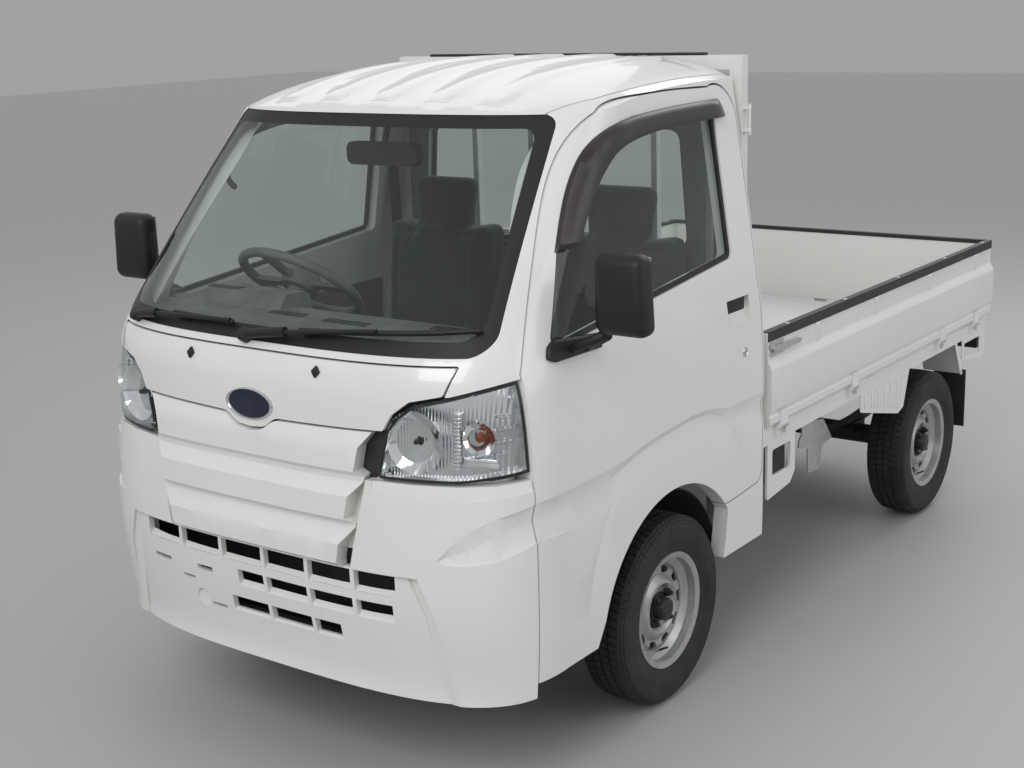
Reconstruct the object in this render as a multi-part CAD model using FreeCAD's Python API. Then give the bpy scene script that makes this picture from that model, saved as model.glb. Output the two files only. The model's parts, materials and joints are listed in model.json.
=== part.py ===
"""A cab-over kei truck with a drop-side bed, in millimetres.

The origin is on the floor, in the middle of the truck's length and width. The nose
points along -Y, the truck's left side is +X, and Z is up.
"""

import FreeCAD, Part
import math
import os

V = FreeCAD.Vector

# Overall sizes
overall_length = 3395.0
bed_width = 1475.0
wheelbase = 1900.0
front_overhang = 890.0
wheel_track = 1305.0
seam_gap = 5.0
seat_gap = 0.3

nose_y = -overall_length / 2
tail_y = overall_length / 2
front_axle_y = nose_y + front_overhang
rear_axle_y = front_axle_y + wheelbase
wheel_x = wheel_track / 2

# Wheels
tyre_radius = 270.0
tyre_width = 145.0
tyre_wall = 9.0
rim_flange_radius = 166.0
rim_seat_radius = 152.0
rim_well_radius = 130.0
rim_half_width = 56.0
rim_sheet = 4.0
hub_radius = 31.0
spindle_radius = 13.0
spindle_clearance = 0.05
vent_hole_radius = 10.5
vent_hole_stretch = 8.0
vent_hole_circle = 109.0
vent_hole_count = 10
stud_circle = 50.0
stud_count = 4
axle_z = tyre_radius

# Cab outer surface: height, setback of the nose, half width, depth of the rounded
# front corner and squareness of that corner
lower_stations = [
    (262, 50, 722, 330, 3.2),
    (450, 31, 728, 330, 3.2),
    (700, 25.5, 730, 340, 3.1),
    (960, 40, 726, 360, 3.0),
    (1080, 56, 714, 378, 3.0),
    (1110, 70, 709, 380, 3.0),
]
upper_stations = [
    (1110, 70, 709, 380, 3.0),
    (1290, 218, 682, 356, 3.0),
    (1470, 376, 654, 332, 3.0),
    (1640, 532, 627, 300, 3.0),
    (1800, 680, 602, 275, 3.0),
]
roof_stations = [
    (-90, 1340),
    (110, 1440),
    (310, 1548),
    (510, 1645),
    (710, 1714),
    (910, 1748),
    (1110, 1761),
    (1310, 1763),
    (1510, 1759),
]
roof_half_width = 720.0
roof_drop = 300.0
roof_squareness = 3.5
cab_rear_y = -278.0
cab_wall = 46.0
roof_wall = 24.0
panel_sheet = 8.0

# Door outline
door_front_y = nose_y + 258
door_rear_y = -288.0
door_bottom_z = 302.0
door_step_z = 500.0
door_top_z = 1682.0
belt_front_z = 1112.0
belt_rear_z = 1202.0

# Wheel arch
arch_radius = 375.0
arch_centre_z = 251.0
arch_shift = 12.0
sill_bottom_z = 333.0
back_panel_bottom_z = 600.0

# Cab front
bumper_top_z = 826.0
lid_bottom_z = 952.0
lid_top_z = 1104.0
lid_half_width = 560.0
lid_peg_x = 400.0
lid_peg_z = 985.0
lid_peg_end = nose_y + 125
lid_bush_end = nose_y + 118
lid_bush_radius = 11.0
screen_bottom_z = 1138.0
screen_top_z = 1648.0
screen_band = 32.0
glass_sheet = 5.0
bumper_wall = 26.0

# Cab inside
foot_floor_z = 400.0
seat_deck_z = 680.0
deck_riser_y = -1182.0
floor_sheet = 30.0
firewall_y = -1500.0
cab_inner_half_width = 672.0
door_swing_x = 626.0
dash_front_half_width = 598.0
dash_front_end_y = -1335.0
wheel_steer_x = 560.0
steering_wheel_x = -330.0

# Bed
bed_floor_z = 650.0
bed_floor_sheet = 10.0
bed_front_y = -258.0
board_sheet = 28.0
gate_inner = 32.0
gate_waist = 15.0
gate_top_z = 950.0
gate_bottom_z = 656.0
gate_front_y = -242.0
gate_rear_y = 1678.0
hinge_radius = 8.0
hinge_pin_radius = 4.0
hinge_bore_gap = 0.1
hinge_length = 46.0
hinge_side_gap = 1.0
hinge_ear = 6.0
hinge_z = 647.0
side_hinges = [-154.0, 373.0, 1156.0, 1511.0]
tail_hinges = [-480.0, 0.0, 480.0]
side_ribs = [94.0, 549.0, 1026.0, 1498.0]
tail_ribs = [-520.0, -180.0, 180.0, 520.0]
gate_rib_width = 24.0
gate_rib_out = 6.0
gate_rib_low = 862.0
latch_y = (-232.0, -140.0)
cap_sheet = 3.0
wheelhouse_front = [(883.0, 598.0), (836.0, 470.0)]
wheelhouse_rear = [(1358.0, 598.0), (1432.0, 462.0)]
cap_drop = 28.0
side_rail_inset = 21.0
side_rail_width = 24.0
side_rail_top_z = 646.0
side_rail_bottom_z = 598.0
guard_step = 2.0
guard_half_width = 640.0
guard_tube = 40.0
guard_depth = 36.0
guard_top_z = 1758.0

# Spare wheel, hung flat under the bed
spare_x = 440.0
spare_y = 308.0
spare_z = 370.0

# Frame under the bed and cab
rail_inner_x = 300.0
rail_width = 50.0
rail_front_z = 290.0
rail_rear_z = 450.0
rail_height = 80.0


def wire(points):
    return Part.makePolygon([V(*p) for p in points] + [V(*points[0])])


def prism_x(points, x0, x1):
    """A flat outline of (y, z) points drawn along X."""
    face = Part.Face(wire([(x0, y, z) for y, z in points]))
    return face.extrude(V(x1 - x0, 0, 0))


def prism_y(points, y0, y1):
    """A flat outline of (x, z) points drawn along Y."""
    face = Part.Face(wire([(x, y0, z) for x, z in points]))
    return face.extrude(V(0, y1 - y0, 0))


def prism_z(points, z0, z1):
    """A flat outline of (x, y) points drawn along Z."""
    face = Part.Face(wire([(x, y, z0) for x, y in points]))
    return face.extrude(V(0, 0, z1 - z0))


def block(x0, x1, y0, y1, z0, z1):
    return Part.makeBox(x1 - x0, y1 - y0, z1 - z0, V(x0, y0, z0))


def rod(start, end, radius):
    a = V(*start)
    b = V(*end)
    return Part.makeCylinder(radius, (b - a).Length, a, b - a)


def spline(points):
    curve = Part.BSplineCurve()
    curve.interpolate([V(*p) for p in points])
    return curve.toShape()


def fuse(*shapes):
    solid = shapes[0]
    for other in shapes[1:]:
        solid = solid.fuse(other)
    return solid.removeSplitter()


def mirrored(shape):
    return shape.mirror(V(0, 0, 0), V(1, 0, 0))


def export(name, *shapes):
    solids = [s for shape in shapes for s in shape.Solids]
    shape = solids[0] if len(solids) == 1 else Part.makeCompound(solids)
    shape.exportStep(os.path.join("parts", name + ".step"))
    print(name, len(solids), round(shape.Volume / 1e6, 2), shape.isValid(), flush=True)


def rounded(points, radii):
    """A closed outline of (a, b) points with an arc at each corner that has a radius."""
    count = len(points)
    corners = []
    for i in range(count):
        p = V(points[i][0], points[i][1], 0)
        if radii[i] == 0:
            corners.append((p, p, p))
            continue
        back = (V(points[i - 1][0], points[i - 1][1], 0) - p).normalize()
        ahead = (V(points[(i + 1) % count][0], points[(i + 1) % count][1], 0) - p).normalize()
        half = back.getAngle(ahead) / 2
        reach = radii[i] / math.tan(half)
        middle = p + (back + ahead).normalize() * (radii[i] / math.sin(half) - radii[i])
        corners.append((p + back * reach, middle, p + ahead * reach))
    edges = []
    for i in range(count):
        start, middle, end = corners[i]
        if radii[i]:
            edges.append(Part.Arc(start, middle, end).toShape())
        after = corners[(i + 1) % count][0]
        if (after - end).Length > 1e-6:
            edges.append(Part.makeLine(end, after))
    return Part.Wire(edges)


def turned(outline, plane):
    """Lays an outline drawn in XY into the YZ plane ("x") or the XZ plane ("y")."""
    shape = outline.copy()
    if plane == "x":
        matrix = FreeCAD.Matrix(0, 0, 1, 0, 1, 0, 0, 0, 0, 1, 0, 0, 0, 0, 0, 1)
    else:
        matrix = FreeCAD.Matrix(1, 0, 0, 0, 0, 0, -1, 0, 0, 1, 0, 0, 0, 0, 0, 1)
    return shape.transformShape(matrix)


def along(outline, plane, low, high):
    """Extrudes an outline, drawn in XY, along X or Y between two places."""
    shape = turned(outline, plane)
    if plane == "x":
        shape.translate(V(low, 0, 0))
        return Part.Face(shape).extrude(V(high - low, 0, 0))
    shape.translate(V(0, low, 0))
    return Part.Face(shape).extrude(V(0, high - low, 0))


# Cab surface


def plan_front(z, setback, half_width, depth, squareness, inset, steps=8):
    """Points of the rounded nose in plan view, from the right side to the left."""
    width = half_width - inset
    points = []
    for i in range(-steps, steps + 1):
        turn = math.pi / 2 * i / steps
        across = math.copysign(abs(math.sin(turn)) ** (2 / squareness), turn)
        back = 1 - math.cos(turn) ** (2 / squareness) if abs(i) < steps else 1.0
        points.append((width * across, nose_y + setback + inset + depth * back, z))
    return points


def plan_section(z, setback, half_width, depth, squareness, inset, rear_inset):
    points = plan_front(z, setback, half_width, depth, squareness, inset)
    rear = cab_rear_y - rear_inset
    right = points[0]
    left = points[-1]
    back_left = (left[0], rear, z)
    back_right = (right[0], rear, z)
    edges = [spline(points)]
    edges.append(Part.makeLine(V(*left), V(*back_left)))
    edges.append(Part.makeLine(V(*back_left), V(*back_right)))
    edges.append(Part.makeLine(V(*back_right), V(*right)))
    return Part.Wire(edges)


def roof_solid(inset):
    wires = []
    for setback, top in roof_stations:
        y = nose_y + setback
        width = roof_half_width - inset
        points = []
        for i in range(-8, 9):
            turn = math.pi / 2 * i / 8
            across = math.copysign(abs(math.sin(turn)) ** (2 / roof_squareness), turn)
            fall = 1 - math.cos(turn) ** (2 / roof_squareness) if abs(i) < 8 else 1.0
            points.append((width * across, y, top - inset - roof_drop * fall))
        level = points[0][2]
        corners = [(width, level), (width + 90, level), (width + 90, 100)]
        outline = [V(x, y, z) for x, z in corners] + [V(-x, y, z) for x, z in reversed(corners)]
        edges = [spline(points)]
        edges += [Part.makeLine(a, b) for a, b in zip(outline, outline[1:])]
        wires.append(Part.Wire(edges))
    return Part.makeLoft(wires, True, False)


def station_at(z):
    """The cab surface's station at a height, by straight interpolation."""
    stations = lower_stations + upper_stations[1:]
    for low, high in zip(stations, stations[1:]):
        if low[0] <= z <= high[0]:
            share = (z - low[0]) / (high[0] - low[0])
            return [a + (b - a) * share for a, b in zip(low, high)]
    raise ValueError(z)


def on_cab(x, z, out):
    """A point of the nose or windscreen, moved straight out along the slope."""
    low = nose_y_at(x, z - 4)
    high = nose_y_at(x, z + 4)
    lean = math.atan2(high - low, 8)
    return (x, nose_y_at(x, z) - out * math.cos(lean), z + out * math.sin(lean))


def nose_y_at(x, z, out=0.0):
    """The cab surface's place along Y at a point of the front view, moved out."""
    _, setback, half_width, depth, squareness = station_at(z)
    share = min(abs(x) / half_width, 1.0)
    return nose_y + setback + depth * (1 - (1 - share**squareness) ** (1 / squareness)) - out


def skin_x_at(y, z):
    """Half width of the cab's surface at a place along Y and a height."""
    _, setback, half_width, depth, squareness = station_at(z)
    share = min(max((y - nose_y - setback) / depth, 0.0), 1.0)
    return half_width * (1 - (1 - share) ** squareness) ** (1 / squareness)


def skin_point(y, z):
    return V(skin_x_at(y, z), y, z)


def skin_normal(y, z):
    """Level direction straight out of the left side or the left front corner."""
    ahead = skin_x_at(y - 2, z)
    behind = skin_x_at(y + 2, z)
    return V(4, -(behind - ahead), 0).normalize()


def groove(stations):
    """A V-shaped crease cut along the cab's left side. Each station gives the two
    edges and the bottom of the crease as (y, z) in side view, and its depth."""
    wires = []
    for first, bottom, second, depth in stations:
        out = skin_normal(*bottom)
        a = skin_point(*first)
        c = skin_point(*second)
        across = (c - a).normalize()
        square = across.cross(out).normalize()
        b = skin_point(*bottom)
        b = b - square * (b - a).dot(square) - out * depth
        corners = [a + out, b, c + out, c + out * 24, a + out * 24]
        wires.append(Part.makePolygon(corners + corners[:1]))
    return Part.makeLoft(wires, True, True)


waist_crease = [
    (nose_y + 82, 650, 647, 643, 0.4),
    (nose_y + 96, 686, 660, 638, 4),
    (nose_y + 112, 712, 671, 637, 7),
    (nose_y + 160, 748, 701, 645, 9),
    (nose_y + 262, 768, 727, 673, 10),
    (nose_y + 420, 768, 730, 662, 10),
    (nose_y + 570, 771, 735, 667, 9),
    (nose_y + 640, 776, 751, 684, 8),
    (nose_y + 715, 789, 767, 700, 7.5),
    (nose_y + 800, 799, 780, 711, 7),
    (nose_y + 980, 809, 794, 719, 7),
    (nose_y + 1070, 806, 790, 717, 7),
    (nose_y + 1125, 799, 778, 711, 7),
    (nose_y + 1190, 785, 752, 700, 8),
    (nose_y + 1380, 781, 743, 688, 8),
    (nose_y + 1460, 780, 742, 687, 8),
]
flare_front = [(622, 731, 3.4), (552, 643, 3.2), (496, 527, 2.6), (468, 430, 1.4), (462, 396, 0.4)]
flare_rear = [(1174, 750, 3.6), (1226, 715, 3.6), (1262, 668, 3.4), (1302, 590, 2.4), (1316, 545, 0.4)]
flare_edges = (8.0, 15.0)


def flare_crease(path, outside):
    """A narrow crease beside the wheel arch; outside is the sign of its steep edge."""
    steep, gentle = flare_edges
    stations = []
    for i, (setback, z, depth) in enumerate(path):
        before = path[max(i - 1, 0)]
        after = path[min(i + 1, len(path) - 1)]
        run = V(0, after[0] - before[0], after[1] - before[1]).normalize()
        side = V(0, run.z, -run.y) * outside
        y = nose_y + setback
        first = (y + side.y * steep, z + side.z * steep)
        second = (y - side.y * gentle, z - side.z * gentle)
        stations.append((first, (y, z), second, depth))
    return groove(stations)


def shoulder_cut():
    """The slope along the top of the bumper, below the headlamp."""
    wires = []
    low = bumper_top_z - 40
    for y, depth in ((nose_y + 48, 9.5), (nose_y + 70, 9), (nose_y + 110, 8), (nose_y + 170, 6), (nose_y + 262, 3)):
        out = skin_normal(y, 800)
        top = skin_point(y, 800) - out * depth
        foot = skin_point(y, 800) + out
        drop = low + (9.5 - depth) * 2.5
        corners = [
            V(top.x, top.y, bumper_top_z + 2),
            V(foot.x, foot.y, drop),
            V(foot.x, foot.y, drop) + out * 30,
            V(top.x, top.y, bumper_top_z + 2) + out * 42,
        ]
        wires.append(Part.makePolygon(corners + corners[:1]))
    return Part.makeLoft(wires, True, True)


def creased_cab():
    """The cab's outer block with its side creases cut."""
    if "creased" not in cab_cache:
        waist = [((y, up), (y, valley), (y, low), depth) for y, up, valley, low, depth in waist_crease]
        left = [groove(waist), flare_crease(flare_front, 1), flare_crease(flare_rear, 1)]
        right = [mirrored(cut) for cut in left]
        cab_cache["creased"] = cab_solid(0).cut(left + right)
    return cab_cache["creased"]


cab_cache = {}


def cab_solid(inset, roof_inset=None, rear_inset=None):
    """The whole cab as one block, with its surface moved inwards by the inset."""
    roof_inset = inset if roof_inset is None else roof_inset
    rear_inset = inset if rear_inset is None else rear_inset
    key = (inset, roof_inset, rear_inset)
    if key not in cab_cache:
        lower = Part.makeLoft([plan_section(*s, inset, rear_inset) for s in lower_stations], True, False)
        upper = Part.makeLoft([plan_section(*s, inset, rear_inset) for s in upper_stations], True, False)
        body = lower.fuse(upper).common(roof_solid(roof_inset))
        cab_cache[key] = body
    return cab_cache[key]


def cab_shell(wall, roof_wall_here=None, rear_inset=None):
    return creased_cab().cut(cab_solid(wall, roof_wall_here, rear_inset))


# Outlines in the side view


def door_outline(grow):
    """The door's edge in side view, moved outwards by grow."""
    front = door_front_y - grow
    rear = door_rear_y + grow
    bottom = door_bottom_z - grow
    top = door_top_z + grow
    pillar = [
        (door_front_y, 1081),
        (nose_y + 335, 1219),
        (nose_y + 416, 1346),
        (nose_y + 539, 1513),
        (nose_y + 640, 1608),
        (nose_y + 740, 1658),
        (nose_y + 900, 1679),
        (nose_y + 1100, 1682),
        (nose_y + 1270, 1678),
    ]
    lean = [(y - grow * 0.8, z + grow * 0.62) for y, z in pillar[1:4]]
    crown = [(y - grow * 0.3, z + grow * 0.95) for y, z in pillar[4:6]]
    flat = [(y, z + grow) for y, z in pillar[6:]]
    points = [(0, front, 1081)] + [(0, y, z) for y, z in lean + crown + flat]
    corner_start = points[-1]
    corner_end = (0, rear, 1600)
    corner_mid = (0, rear - 34, 1655 + grow * 0.8)
    step = door_step_z - grow
    arch_hit = front_axle_y + arch_shift + 330
    edges = [Part.makeLine(V(0, front, bottom), V(*points[0]))]
    edges.append(spline(points))
    edges.append(Part.Arc(V(*corner_start), V(*corner_mid), V(*corner_end)).toShape())
    edges.append(Part.makeLine(V(*corner_end), V(0, rear, step + 60)))
    edges.append(Part.Arc(V(0, rear, step + 60), V(0, rear - 14, step + 22), V(0, rear - 50, step + 10)).toShape())
    edges.append(Part.makeLine(V(0, rear - 50, step + 10), V(0, arch_hit, step)))
    edges.append(Part.makeLine(V(0, arch_hit, step), V(0, front_axle_y, step)))
    edges.append(Part.makeLine(V(0, front_axle_y, step), V(0, front_axle_y, bottom)))
    edges.append(Part.makeLine(V(0, front_axle_y, bottom), V(0, front, bottom)))
    return Part.Wire(edges)


def extrude_side(outline, x0, x1):
    shape = outline.copy()
    shape.translate(V(x0, 0, 0))
    return Part.Face(shape).extrude(V(x1 - x0, 0, 0))


def arch_cutter(grow=0.0):
    """The wheel arch opening, drawn along X through the left side."""
    cy = front_axle_y + arch_shift
    cz = arch_centre_z
    r = arch_radius + grow
    rear = cy + 300 + grow
    front = cy - 357 - grow
    start = V(0, front, cz + math.sqrt(r * r - (cy - front) ** 2))
    end = V(0, rear, cz + math.sqrt(r * r - (rear - cy) ** 2))
    top = V(0, cy, cz + r)
    low_front = V(0, cy - 396 - grow, door_bottom_z - 4)
    edges = [Part.Arc(start, top, end).toShape()]
    edges.append(Part.makeLine(end, V(0, rear - 22, 330)))
    edges.append(Part.makeLine(V(0, rear - 22, 330), V(0, rear - 22, 120)))
    edges.append(Part.makeLine(V(0, rear - 22, 120), V(0, low_front.y, 120)))
    edges.append(Part.makeLine(V(0, low_front.y, 120), low_front))
    edges.append(Part.makeLine(low_front, start))
    return extrude_side(Part.Wire(edges), 380, 900)


def window_outline(grow):
    """The side window opening in side view."""
    points = [
        (nose_y + 348 - grow, belt_front_z - grow),
        (nose_y + 464 - grow, 1346),
        (nose_y + 584 - grow, 1510 + grow * 0.6),
        (nose_y + 700, 1594 + grow),
        (nose_y + 860, 1632 + grow),
        (-410 + grow, 1640 + grow),
        (-418 + grow, belt_rear_z - grow),
    ]
    radii = [26, 60, 120, 120, 60, 46, 22]
    return rounded(points, radii)


def window_prism(grow, x0, x1):
    return along(window_outline(grow), "x", x0, x1)


def lamp_outline(grow):
    """The left headlamp in front view; the rear edge lies at the door seam."""
    points = [
        (391 - grow, 829 - grow),
        (600, 829 - grow),
        (702, 841 - grow),
        (800, 875 - grow),
        (800, 1104 + grow),
        (698, 1073 + grow),
        (568, 1038 + grow),
        (486, 1019 + grow),
        (448 - grow * 0.6, 989 + grow),
        (419 - grow, 953),
    ]
    radii = [6, 60, 60, 0, 0, 20, 40, 40, 20, 8]
    return rounded(points, radii)


def screen_outline(grow):
    """The windscreen in front view, as one closed outline."""
    points = [
        (-640 - grow, 1124 - grow),
        (640 + grow, 1124 - grow),
        (552 + grow, 1652 + grow),
        (-552 - grow, 1652 + grow),
    ]
    return rounded(points, [46, 46, 40, 40])


def lid_outline(grow):
    """The front lid in front view, dipping in the middle under the badge."""
    right = [
        (0, 912 - grow),
        (48, 917 - grow),
        (84, 944 - grow),
        (417 + grow, lid_bottom_z - grow),
        (440 + grow, 992 - grow),
        (484 + grow, 1026 - grow),
        (lid_half_width + grow, 1042 - grow),
        (lid_half_width + 20 + grow, lid_top_z + grow),
    ]
    left = [(-x, z) for x, z in reversed(right[1:])]
    points = right + left
    radii_right = [60, 50, 50, 6, 20, 20, 6, 6]
    radii = radii_right + list(reversed(radii_right[1:]))
    return rounded(points, radii)


# Cab panels


roof_seam = [(505, 548), (527, 626), (547, 694), (572, 773), (586, 887), (591, 1002), (592, 1430)]
roof_seam_z = 1655.0
ditch_half = 2.5
ditch_depth = 5.0
rib_centres = [-358.0, -187.0, 0.0, 187.0, 358.0]
rib_half = 46.0
rib_height = 5.0
rib_slope = 16.0
rib_stations = [600, 640, 710, 810, 910, 1010, 1110, 1210, 1310, 1418]


def roof_outline(inset, back=0.0):
    """The roof panel in plan, between the two seams beside the doors."""
    right = [(x - inset, nose_y + setback) for x, setback in roof_seam]
    right[-1] = (right[-1][0], cab_rear_y + back)
    return [(-x, y) for x, y in reversed(right)] + right


def roof_z_at(x, y):
    """Height of the roof, by a smooth curve through the roof's stations."""
    curve = Part.BSplineCurve()
    curve.interpolate([V(setback, 0, top) for setback, top in roof_stations])
    top = curve.value(curve.parameter(V(y - nose_y, 0, 1700))).z
    share = min(abs(x) / roof_half_width, 1.0)
    return top - roof_drop * (1 - (1 - share**roof_squareness) ** (1 / roof_squareness))


def roof_rib(centre):
    """One raised rib along the roof, fading in at its front end."""
    wires = []
    for i, setback in enumerate(rib_stations):
        y = nose_y + setback
        up = -1.5 if i == 0 else rib_height
        slope = rib_slope if i else rib_slope * 1.6
        half = rib_half if i else rib_half - 6
        corners = []
        for x, rise in ((-half, -4), (-half + 2, -0.4), (-half + slope, up), (half - slope, up), (half - 2, -0.4), (half, -4)):
            corners.append(V(centre + x, y, roof_z_at(centre + x, y) + rise))
        wires.append(Part.makePolygon(corners + corners[:1]))
    return Part.makeLoft(wires, True, False)


def rear_window_outline(grow):
    side = 500 + grow
    return rounded([(-side, 1180 - grow), (side, 1180 - grow), (side - 30, 1560 + grow), (30 - side, 1560 + grow)], [50] * 4)


def cab_panels():
    shell = cab_shell(cab_wall, roof_wall)
    half = block(0, 900, nose_y - 100, 0, 0, 1900)
    left_shell = shell.common(half)

    opening = extrude_side(door_outline(seam_gap), 380, 900)
    screen_cut = along(screen_outline(seat_gap), "y", nose_y - 50, nose_y + 760)
    rear_zone = block(-560, 560, cab_rear_y - 120, 0, 200, 1650)
    roof_zone = prism_z(roof_outline(0, 60), roof_seam_z, 1900)
    ditch = prism_z(roof_outline(-ditch_half, 40), 1632, 1900).cut(prism_z(roof_outline(ditch_half, 50), 1500, 1950))
    ditch = ditch.cut(cab_solid(ditch_depth))
    lamp_cut = along(lamp_outline(seat_gap), "y", nose_y - 50, door_front_y)
    lid_cut = along(lid_outline(seam_gap), "y", nose_y - 50, nose_y + 330)
    cowl_zone = block(-lid_half_width, lid_half_width, nose_y - 50, nose_y + 400, lid_bottom_z, 1140)

    cuts = [opening, screen_cut, rear_zone, roof_zone, ditch, lamp_cut, lid_cut, cowl_zone, arch_cutter()]
    cuts.append(block(-900, 900, nose_y - 100, door_front_y - seam_gap, 0, 1040))
    cuts.append(block(0, 900, nose_y, 0, 0, sill_bottom_z))
    side = max(left_shell.cut(cuts).Solids, key=lambda s: s.Volume)
    export("cab_side_left", side)
    export("cab_side_right", mirrored(side))

    roof = shell.common(roof_zone).cut([screen_cut, opening, mirrored(opening), ditch])
    roof = max(roof.Solids, key=lambda s: s.Volume)
    for centre in rib_centres:
        roof = roof.fuse(roof_rib(centre))
    export("cab_roof", max(roof.Solids, key=lambda s: s.Volume))

    window = along(rear_window_outline(0), "y", -500, 0)
    back = shell.common(rear_zone).cut([roof_zone, block(-900, 900, -900, 0, 0, back_panel_bottom_z), window])
    export("cab_back_panel", max(back.Solids, key=lambda s: s.Volume))
    cowl = cab_shell(24).common(cowl_zone)
    cowl = cowl.cut([screen_cut, lid_cut, lamp_cut, block(-900, 900, nose_y - 100, 0, 0, lid_top_z + seam_gap)])
    export("cowl_panel", max(cowl.Solids, key=lambda s: s.Volume))

    lid = cab_shell(panel_sheet).common(along(lid_outline(0), "y", nose_y - 50, nose_y + 330))
    lid = lid.common(block(-900, 900, nose_y - 50, nose_y + 330, 0, 1150))
    lid = max(lid.Solids, key=lambda s: s.Volume)
    for x in (-lid_peg_x, lid_peg_x):
        peg = rod((x, nose_y_at(x, lid_peg_z) + 4, lid_peg_z), (x, lid_peg_end, lid_peg_z), 5)
        lid = lid.fuse(peg)
    export("front_lid", lid)


def screen():
    sheet = cab_solid(2).cut(cab_solid(2 + glass_sheet))
    front = block(-900, 900, nose_y - 50, nose_y + 760, 1100, 1700)
    sheet = sheet.common(front)
    whole = along(screen_outline(0), "y", nose_y - 50, nose_y + 760)
    clear = along(screen_outline(-screen_band), "y", nose_y - 50, nose_y + 760)
    seal = sheet.common(whole).cut(clear)
    pane = sheet.common(along(screen_outline(-screen_band - 0.1), "y", nose_y - 50, nose_y + 760))
    export("windscreen_seal", max(seal.Solids, key=lambda s: s.Volume))
    rear_pane = along(rear_window_outline(-seat_gap), "y", cab_rear_y - 30, cab_rear_y - 30 + glass_sheet)
    export("cab_glass", max(pane.Solids, key=lambda s: s.Volume), rear_pane)


# Bumper, grille and lamps


def grille_edge(z):
    """Half width of the ribbed grille panel at a height."""
    return 320 + (z - 600) * (391 - 320) / (950 - 600)


rib_levels = [
    (600, 6, 26),
    (612, 24, 30),
    (662, 24, 30),
    (706, 3, 0),
    (716, 3, 0),
    (728, 20, 26),
    (786, 20, 26),
    (822, 1, 0),
    (836, 1, 0),
    (848, 15, 24),
    (908, 13, 24),
    (947, 0, 0),
]


def grille_panel():
    wires = []
    for z, out, narrow in rib_levels:
        half = grille_edge(z) - narrow - 1.0
        xs = [half * i / 6 for i in range(-6, 7)]
        front = [(x, nose_y_at(x, z, out), z) for x in xs]
        back = [(x * 0.98, nose_y_at(x, z) + bumper_wall + 8, z) for x in reversed(xs)]
        edges = [spline(front), Part.makeLine(V(*front[-1]), V(*back[0])), spline(back)]
        edges.append(Part.makeLine(V(*back[-1]), V(*front[0])))
        wires.append(Part.Wire(edges))
    panel = Part.makeLoft(wires, True, True)
    panel = panel.cut(along(lid_outline(seam_gap), "y", nose_y - 50, nose_y + 330))
    panel = panel.cut(cab_solid(bumper_wall))
    export("grille_panel", max(panel.Solids, key=lambda s: s.Volume))


opening_rows = [
    (552, 592, [-448, -300, -142, 13, 166, 315, 440]),
    (480, 514, [-86, 13, 166, 315, 428]),
    (392, 430, [-126, 13, 166, 258]),
]
bar_half = 6.0
louver_slope = 15.0
recess_depth = 10.0
recess_outer = [(507, 598), (543, 504), (586, 258)]
recess_inner = [(474, 598), (512, 498), (556, 258)]
plate_holes = [(-434, -360, 478, 490), (-247, -186, 482, 496), (-315, -265, 446, 454), (-215, -157, 381, 389)]
plate_recess = (-245, 396, 25)


def recess_bevel():
    """The slope round the left end of the recessed middle of the bumper."""
    wires = []
    for (xo, zo), (xi, zi) in zip(recess_outer, recess_inner):
        outer = V(xo, nose_y_at(xo, max(zo, 262)) - 0.6, zo)
        inner = V(xi, nose_y_at(xi, max(zi, 262)) + recess_depth + 0.4, zi)
        ahead = V(0, -40, 0)
        corners = [outer, inner, V(inner.x, outer.y, inner.z) + ahead, outer + ahead]
        wires.append(Part.makePolygon(corners + corners[:1]))
    return Part.makeLoft(wires, True, True)


def louver_cell(left, right, low, high):
    """One grille opening, with a floor that slopes down towards the front."""
    wires = []
    for x in (left, right):
        y = nose_y_at(x, (low + high) / 2)
        points = [(y - 30, low - louver_slope), (y + 6, low - louver_slope), (y + 24, low), (y + 90, low)]
        points += [(y + 90, high), (y - 30, high)]
        wires.append(wire([(x, a, b) for a, b in points]))
    return Part.makeLoft(wires, True, True)


def bumper():
    zone = block(-900, 900, nose_y - 100, door_front_y - seam_gap, 0, bumper_top_z)
    shell = creased_cab().common(zone)
    middle = [(-x, z) for x, z in recess_inner] + list(reversed(recess_inner))
    hollow = prism_y(middle, nose_y - 60, nose_y + 200).cut(cab_solid(recess_depth))
    shell = shell.cut([hollow, recess_bevel(), mirrored(recess_bevel()), shoulder_cut(), mirrored(shoulder_cut())])
    shell = shell.cut(cab_solid(bumper_wall))
    edge = [(-grille_edge(600), 598), (grille_edge(600), 598), (grille_edge(950), 950), (-grille_edge(950), 950)]
    cuts = [prism_y(edge, nose_y - 100, nose_y + 200)]
    for low, high, columns in opening_rows:
        for a, b in zip(columns, columns[1:]):
            left_bar = 0 if a == columns[0] else bar_half
            right_bar = 0 if b == columns[-1] else bar_half
            cuts.append(louver_cell(a + left_bar, b - right_bar, low, high))
    for left, right, low, high in plate_holes:
        cuts.append(block(left, right, nose_y - 50, nose_y + 120, low, high))
    x, z, radius = plate_recess
    y = nose_y_at(x, z)
    cuts.append(rod((x, y - 30, z), (x, y + recess_depth + 9, z), radius))
    shell = shell.cut(cuts)
    export("front_bumper", max(shell.Solids, key=lambda s: s.Volume))


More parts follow.
